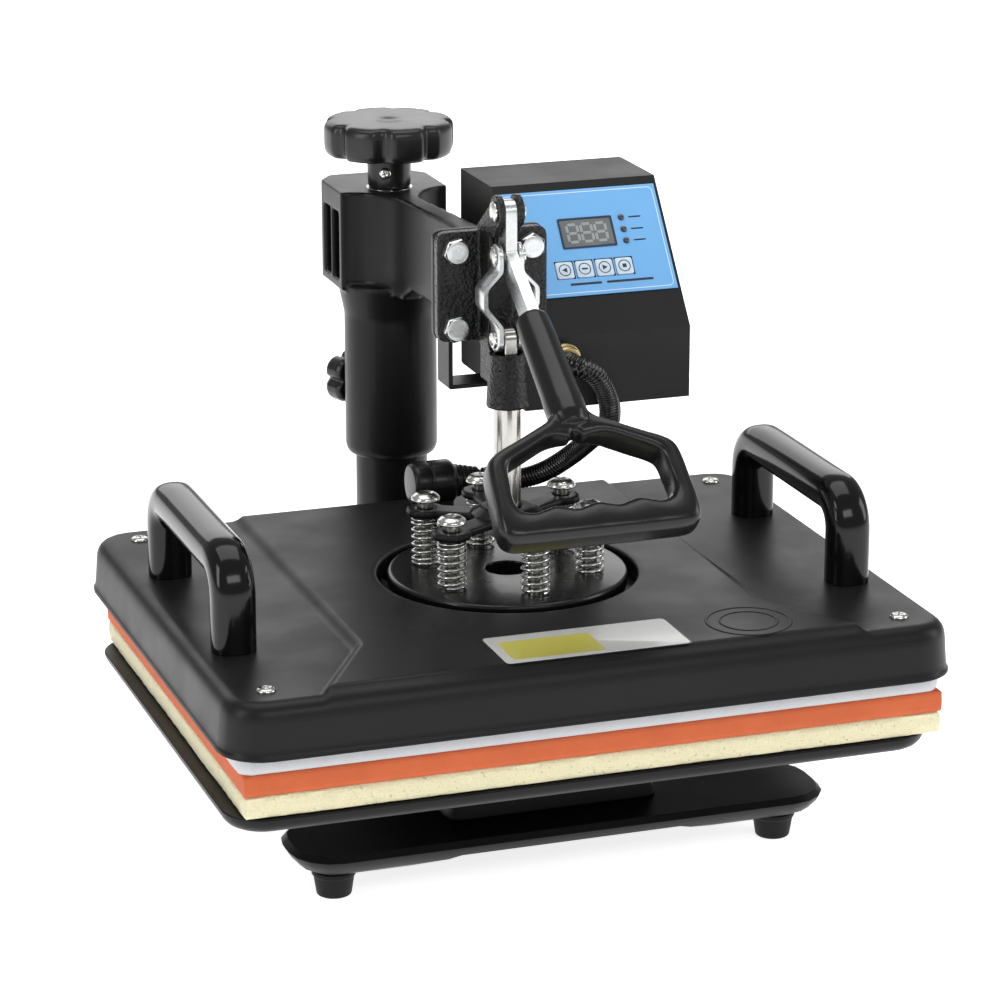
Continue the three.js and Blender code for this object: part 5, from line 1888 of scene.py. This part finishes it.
    def key_tops(self) -> None:
        """Builds each key's cap, its ring and its plain mark."""
        for k, x in enumerate(self.keys, 1):
            name, body = f"panel_key_{k}", f"key_{k}"
            down = self.key_down + self.margin[1]
            cap = slab(5, 5, 1.3, ((0, -4), (0, 0.55), (0.12, 0.85), (0.45, 1.0)), (x, -down),
                       6).moved(self.slope())
            made = cap.piece(name + "_cap", None, "key_face", "key_white")
            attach(made, body)
            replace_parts(made, name)
            turn = np.linspace(0, math.pi, 5)
            radius, wide = self.key_ring
            profile = [(radius + wide * math.cos(t), 1.0 + 0.14 * math.sin(t)) for t in turn]
            profile += [(radius - wide, 0.9), (radius + wide, 0.9)]
            form = Form().turn(profile, 36, loop=True).moved(at(x, -down, 0)).moved(self.slope())
            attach(form.piece(f"{name}_ring", None, "panel_ink", "key_white"), body)
            self.mark(name, body, k, x, down)

    def mark(self, name: str, body: str, k: int, x: float, down: float) -> None:
        """Builds a key's arrow, square or bar.

        Args:
            name: The key's name.
            body: The body it rides on.
            k: The key's number from the left.
            x: The key's middle.
            down: Its middle's distance down from the crest.
        """
        shapes = {1: [(1.2, 1.5), (-1.6, 0), (1.2, -1.5)],
                  2: [(1.7, -0.5), (1.7, 0.5), (-1.7, 0.5), (-1.7, -0.5)],
                  3: [(-1.2, -1.5), (1.6, 0), (-1.2, 1.5)],
                  4: [(1.1, -1.1), (1.1, 1.1), (-1.1, 1.1), (-1.1, -1.1)]}
        outline = np.array(shapes[k]) + np.array((x, -down))
        form = Form().loft([raised(outline, 0.95), raised(outline, 1.12)]).moved(self.slope())
        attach(form.piece(name + "_mark", None, "panel_ink", "key_white"), body)

    def shell_screws(self) -> None:
        """Builds the two screws on each side that hold the box's halves together."""
        low, high = box_of("controller_shell")
        for side, x in (("left", low.x), ("right", high.x)):
            sign = -1 if side == "left" else 1
            for k, z in enumerate((low.z + 16, high.z - 16), 1):
                tilt = turned_about("Y", 90 * sign)
                pan_screw(f"shell_screw_{side}_{k}", Body.ARM, (x - sign * 1.9, high.y - 12, z), 2.9, 1.8,
                          25 * k, tilt)


@dataclass
class Conduit:
    """The corrugated hose from the heater's plug up to the controller."""

    radius: float = 5.98
    pitch: float = 2.1
    groove: float = 0.16
    knots: tuple[tuple[float, float, float], ...] = (
        (27, 69, 153.5), (34, 68.6, 153.4), (46, 60.5, 153.5), (58, 49, 160), (68, 33, 173), (73, 13, 188),
        (72, -8, 200), (69.5, -24, 210), (65.5, -32.5, 223), (57, -41, 237), (47.5, -43, 244.5),
        (42.4, -38.5, 246), (42, -32.7, 246))

    def build(self) -> None:
        """Builds the hose, its plug and the gland."""
        self.plug()
        gland = self.gland()
        path = smooth_path(self.knots, 900)
        run = float(np.linalg.norm(np.diff(path, axis=0), axis=1).sum())
        rings = round(run / self.pitch)
        form = Form().tube(path, circle(1.0, 24), scale=lambda share: self.rib(share * rings))
        made = form.piece("hose", None, "conduit_plastic", "conduit_plastic", 75)
        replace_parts(made, "heater_conduit")
        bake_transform(made)
        log.info("hose: %.0f mm long", run)

    def rib(self, turns: float) -> float:
        """Gives the hose's radius at a place counted in rings along it."""
        crest = 0.5 - 0.5 * math.cos(2 * math.pi * turns)
        return self.radius * (1 - self.groove * (1 - crest ** 0.6))

    def plug(self) -> None:
        """Builds the heater's plug with its finned strain relief and its saddle."""
        low, high = box_of("heater_connector")
        y, z, radius = (low.y + high.y) / 2, high.z - 12.8, 12.8
        end = high.x
        profile = [(0, low.x, 0), (radius - 1.5, low.x, 1.2), (radius, low.x + 3, 1.0),
                   (radius, low.x + 9.5, 0.3),
                   (radius - 0.8, low.x + 10, 0.2), (radius - 0.8, low.x + 11.2, 0.2),
                   (radius, low.x + 11.7, 0.3),
                   (radius, end - 18.5, 1.5), (radius - 3.4, end - 15.6, 0.8)]
        for k in range(5):
            wide = 9.4 - 0.6 * k
            spot = end - 15 + 2.9 * k
            profile += [(wide, spot, 0.4), (wide, spot + 1.7, 0.4), (wide - 1.8, spot + 2.0, 0.2),
                        (wide - 1.8, spot + 2.7, 0.2)]
        profile += [(5.2, end - 0.2, 0.2), (0, end, 0)]
        form = Form().turn(rounded_profile(profile, 3), 48)
        form.moved(at(0, y, z) @ turned_about("Y", 90))
        made = form.piece("plug_shell", Body.PLATEN, "connector_plastic", "connector_plastic", 45)
        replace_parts(made, "heater_connector")
        saddle = slab((end - low.x) / 2 - 12, 9, 2.5, ((0.6, low.z), (0, low.z + 0.6), (0, z - 2), (1, z)),
                      ((low.x + end) / 2 - 6, y), 6)
        saddle.piece("plug_saddle", Body.PLATEN, "connector_plastic", "connector_plastic")

    def gland(self) -> bpy.types.Object:
        """Builds the brass gland in the controller's front.

        Returns:
            The gland.
        """
        low, high = box_of("cable_gland")
        x, z = (low.x + high.x) / 2, (low.z + high.z) / 2
        wide, long = (high.x - low.x) / 2, high.y - low.y
        profile = rounded_profile([(5.35, 0, 0), (wide - 1.2, 0, 0.8), (wide - 0.6, 2.6, 0.4),
                                   (wide - 1.6, 3.0, 0.2),
                                   (wide - 1.6, 3.6, 0.2), (wide, 4.0, 0.4), (wide, 6.0, 0.4),
                                   (wide - 2.2, 6.3, 0.3),
                                   (wide - 2.2, long, 0.3), (5.35, long, 0)])
        form = Form().turn(profile, 40, loop=True).moved(at(x, low.y, z) @ turned_about("X", -90))
        made = form.piece("gland_ring", Body.ARM, "gland_brass", "brass", 45)
        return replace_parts(made, "cable_gland")


# ------------------------------------------------------------------ studio
@dataclass
class Studio:
    """A pale floor, soft lamps and the camera."""

    camera_at: tuple[float, float, float] = (-0.6286, -1.8487, 0.7633)
    aimed_at: tuple[float, float, float] = (-0.0042, -0.053, 0.1787)
    lens: float = 133.2
    sensor: float = 36.0
    lamps: tuple[tuple[str, tuple[float, float, float], tuple[float, float], float], ...] = (
        ("overhead", (0.0, 0.1, 1.9), (1.8, 1.2), 15.0),
        ("back_wall", (0.5, 2.3, 1.15), (3.0, 1.1), 17.0),
        ("left_wall", (-1.7, -0.5, 0.9), (0.5, 1.2), 9.0),
        ("right_wall", (1.8, -0.6, 0.8), (0.7, 1.1), 9.0),
        ("front", (0.1, -2.4, 1.6), (1.8, 0.7), 16.0))
    room: float = 0.34
    glow: float = 0.8

    def camera(self) -> None:
        """Sets up the camera."""
        made = bpy.data.objects.new("camera", bpy.data.cameras.new("camera"))
        bpy.context.scene.collection.objects.link(made)
        made.data.lens, made.data.sensor_width = self.lens, self.sensor
        made.data.clip_start, made.data.clip_end = 0.05, 50
        made.location = self.camera_at
        aim = Vector(self.aimed_at) - Vector(self.camera_at)
        made.rotation_mode = "QUATERNION"
        made.rotation_quaternion = aim.to_track_quat("-Z", "Y")
        bpy.context.scene.camera = made

    def light(self) -> None:
        """Hangs the lamps and lights the room."""
        for name, place, size, power in self.lamps:
            data = bpy.data.lights.new(name, "AREA")
            data.shape, data.energy = "RECTANGLE", power
            data.size, data.size_y = size
            lamp = bpy.data.objects.new(name, data)
            lamp.location = place
            lamp.rotation_mode = "QUATERNION"
            lamp.rotation_quaternion = (Vector((0, 0, 0.15)) - Vector(place)).to_track_quat("-Z", "Y")
            bpy.context.scene.collection.objects.link(lamp)
        world = bpy.data.worlds.new("room")
        world.use_nodes = True
        world.node_tree.nodes["Background"].inputs["Color"].default_value = (1.0, 1.0, 1.0, 1.0)
        world.node_tree.nodes["Background"].inputs["Strength"].default_value = self.room
        bpy.context.scene.world = world
        bpy.context.scene.view_settings.view_transform = "Standard"

    def floor(self) -> None:
        """Lays the pale floor, lit softly from beneath."""
        recipe = Recipe("floor_paper", (0.93, 0.93, 0.93), 0.9)
        recipe.set("Specular IOR Level", 0.05)
        recipe.set("Emission Color", (1.0, 1.0, 1.0, 1.0))
        recipe.set("Emission Strength", self.glow)
        mesh = bpy.data.meshes.new("floor")
        reach, drop = 30.0, -0.0004
        corners = [(-reach, -reach, drop), (reach, -reach, drop), (reach, reach, drop), (-reach, reach, drop)]
        mesh.from_pydata(corners, [], [(0, 1, 2, 3)])
        mesh.materials.append(recipe.material)
        made = bpy.data.objects.new("floor", mesh)
        bpy.context.scene.collection.objects.link(made)


def main() -> None:
    """Builds the heat press."""
    logging.basicConfig(level=logging.INFO, format="%(name)s %(message)s")
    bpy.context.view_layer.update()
    studio = Studio()
    studio.camera()
    Conduit().build()
    Base().build()
    Stack().build()
    Cover().build()
    for node in ("side_handle_left", "side_handle_right"):
        SideHandle(node).build()
    Film().build()
    SpringDeck().build()
    Toggle().build()
    Grip().build()
    Arm().build()
    Controller().build()
    studio.floor()
    studio.light()


if __name__ == "__main__":
    main()
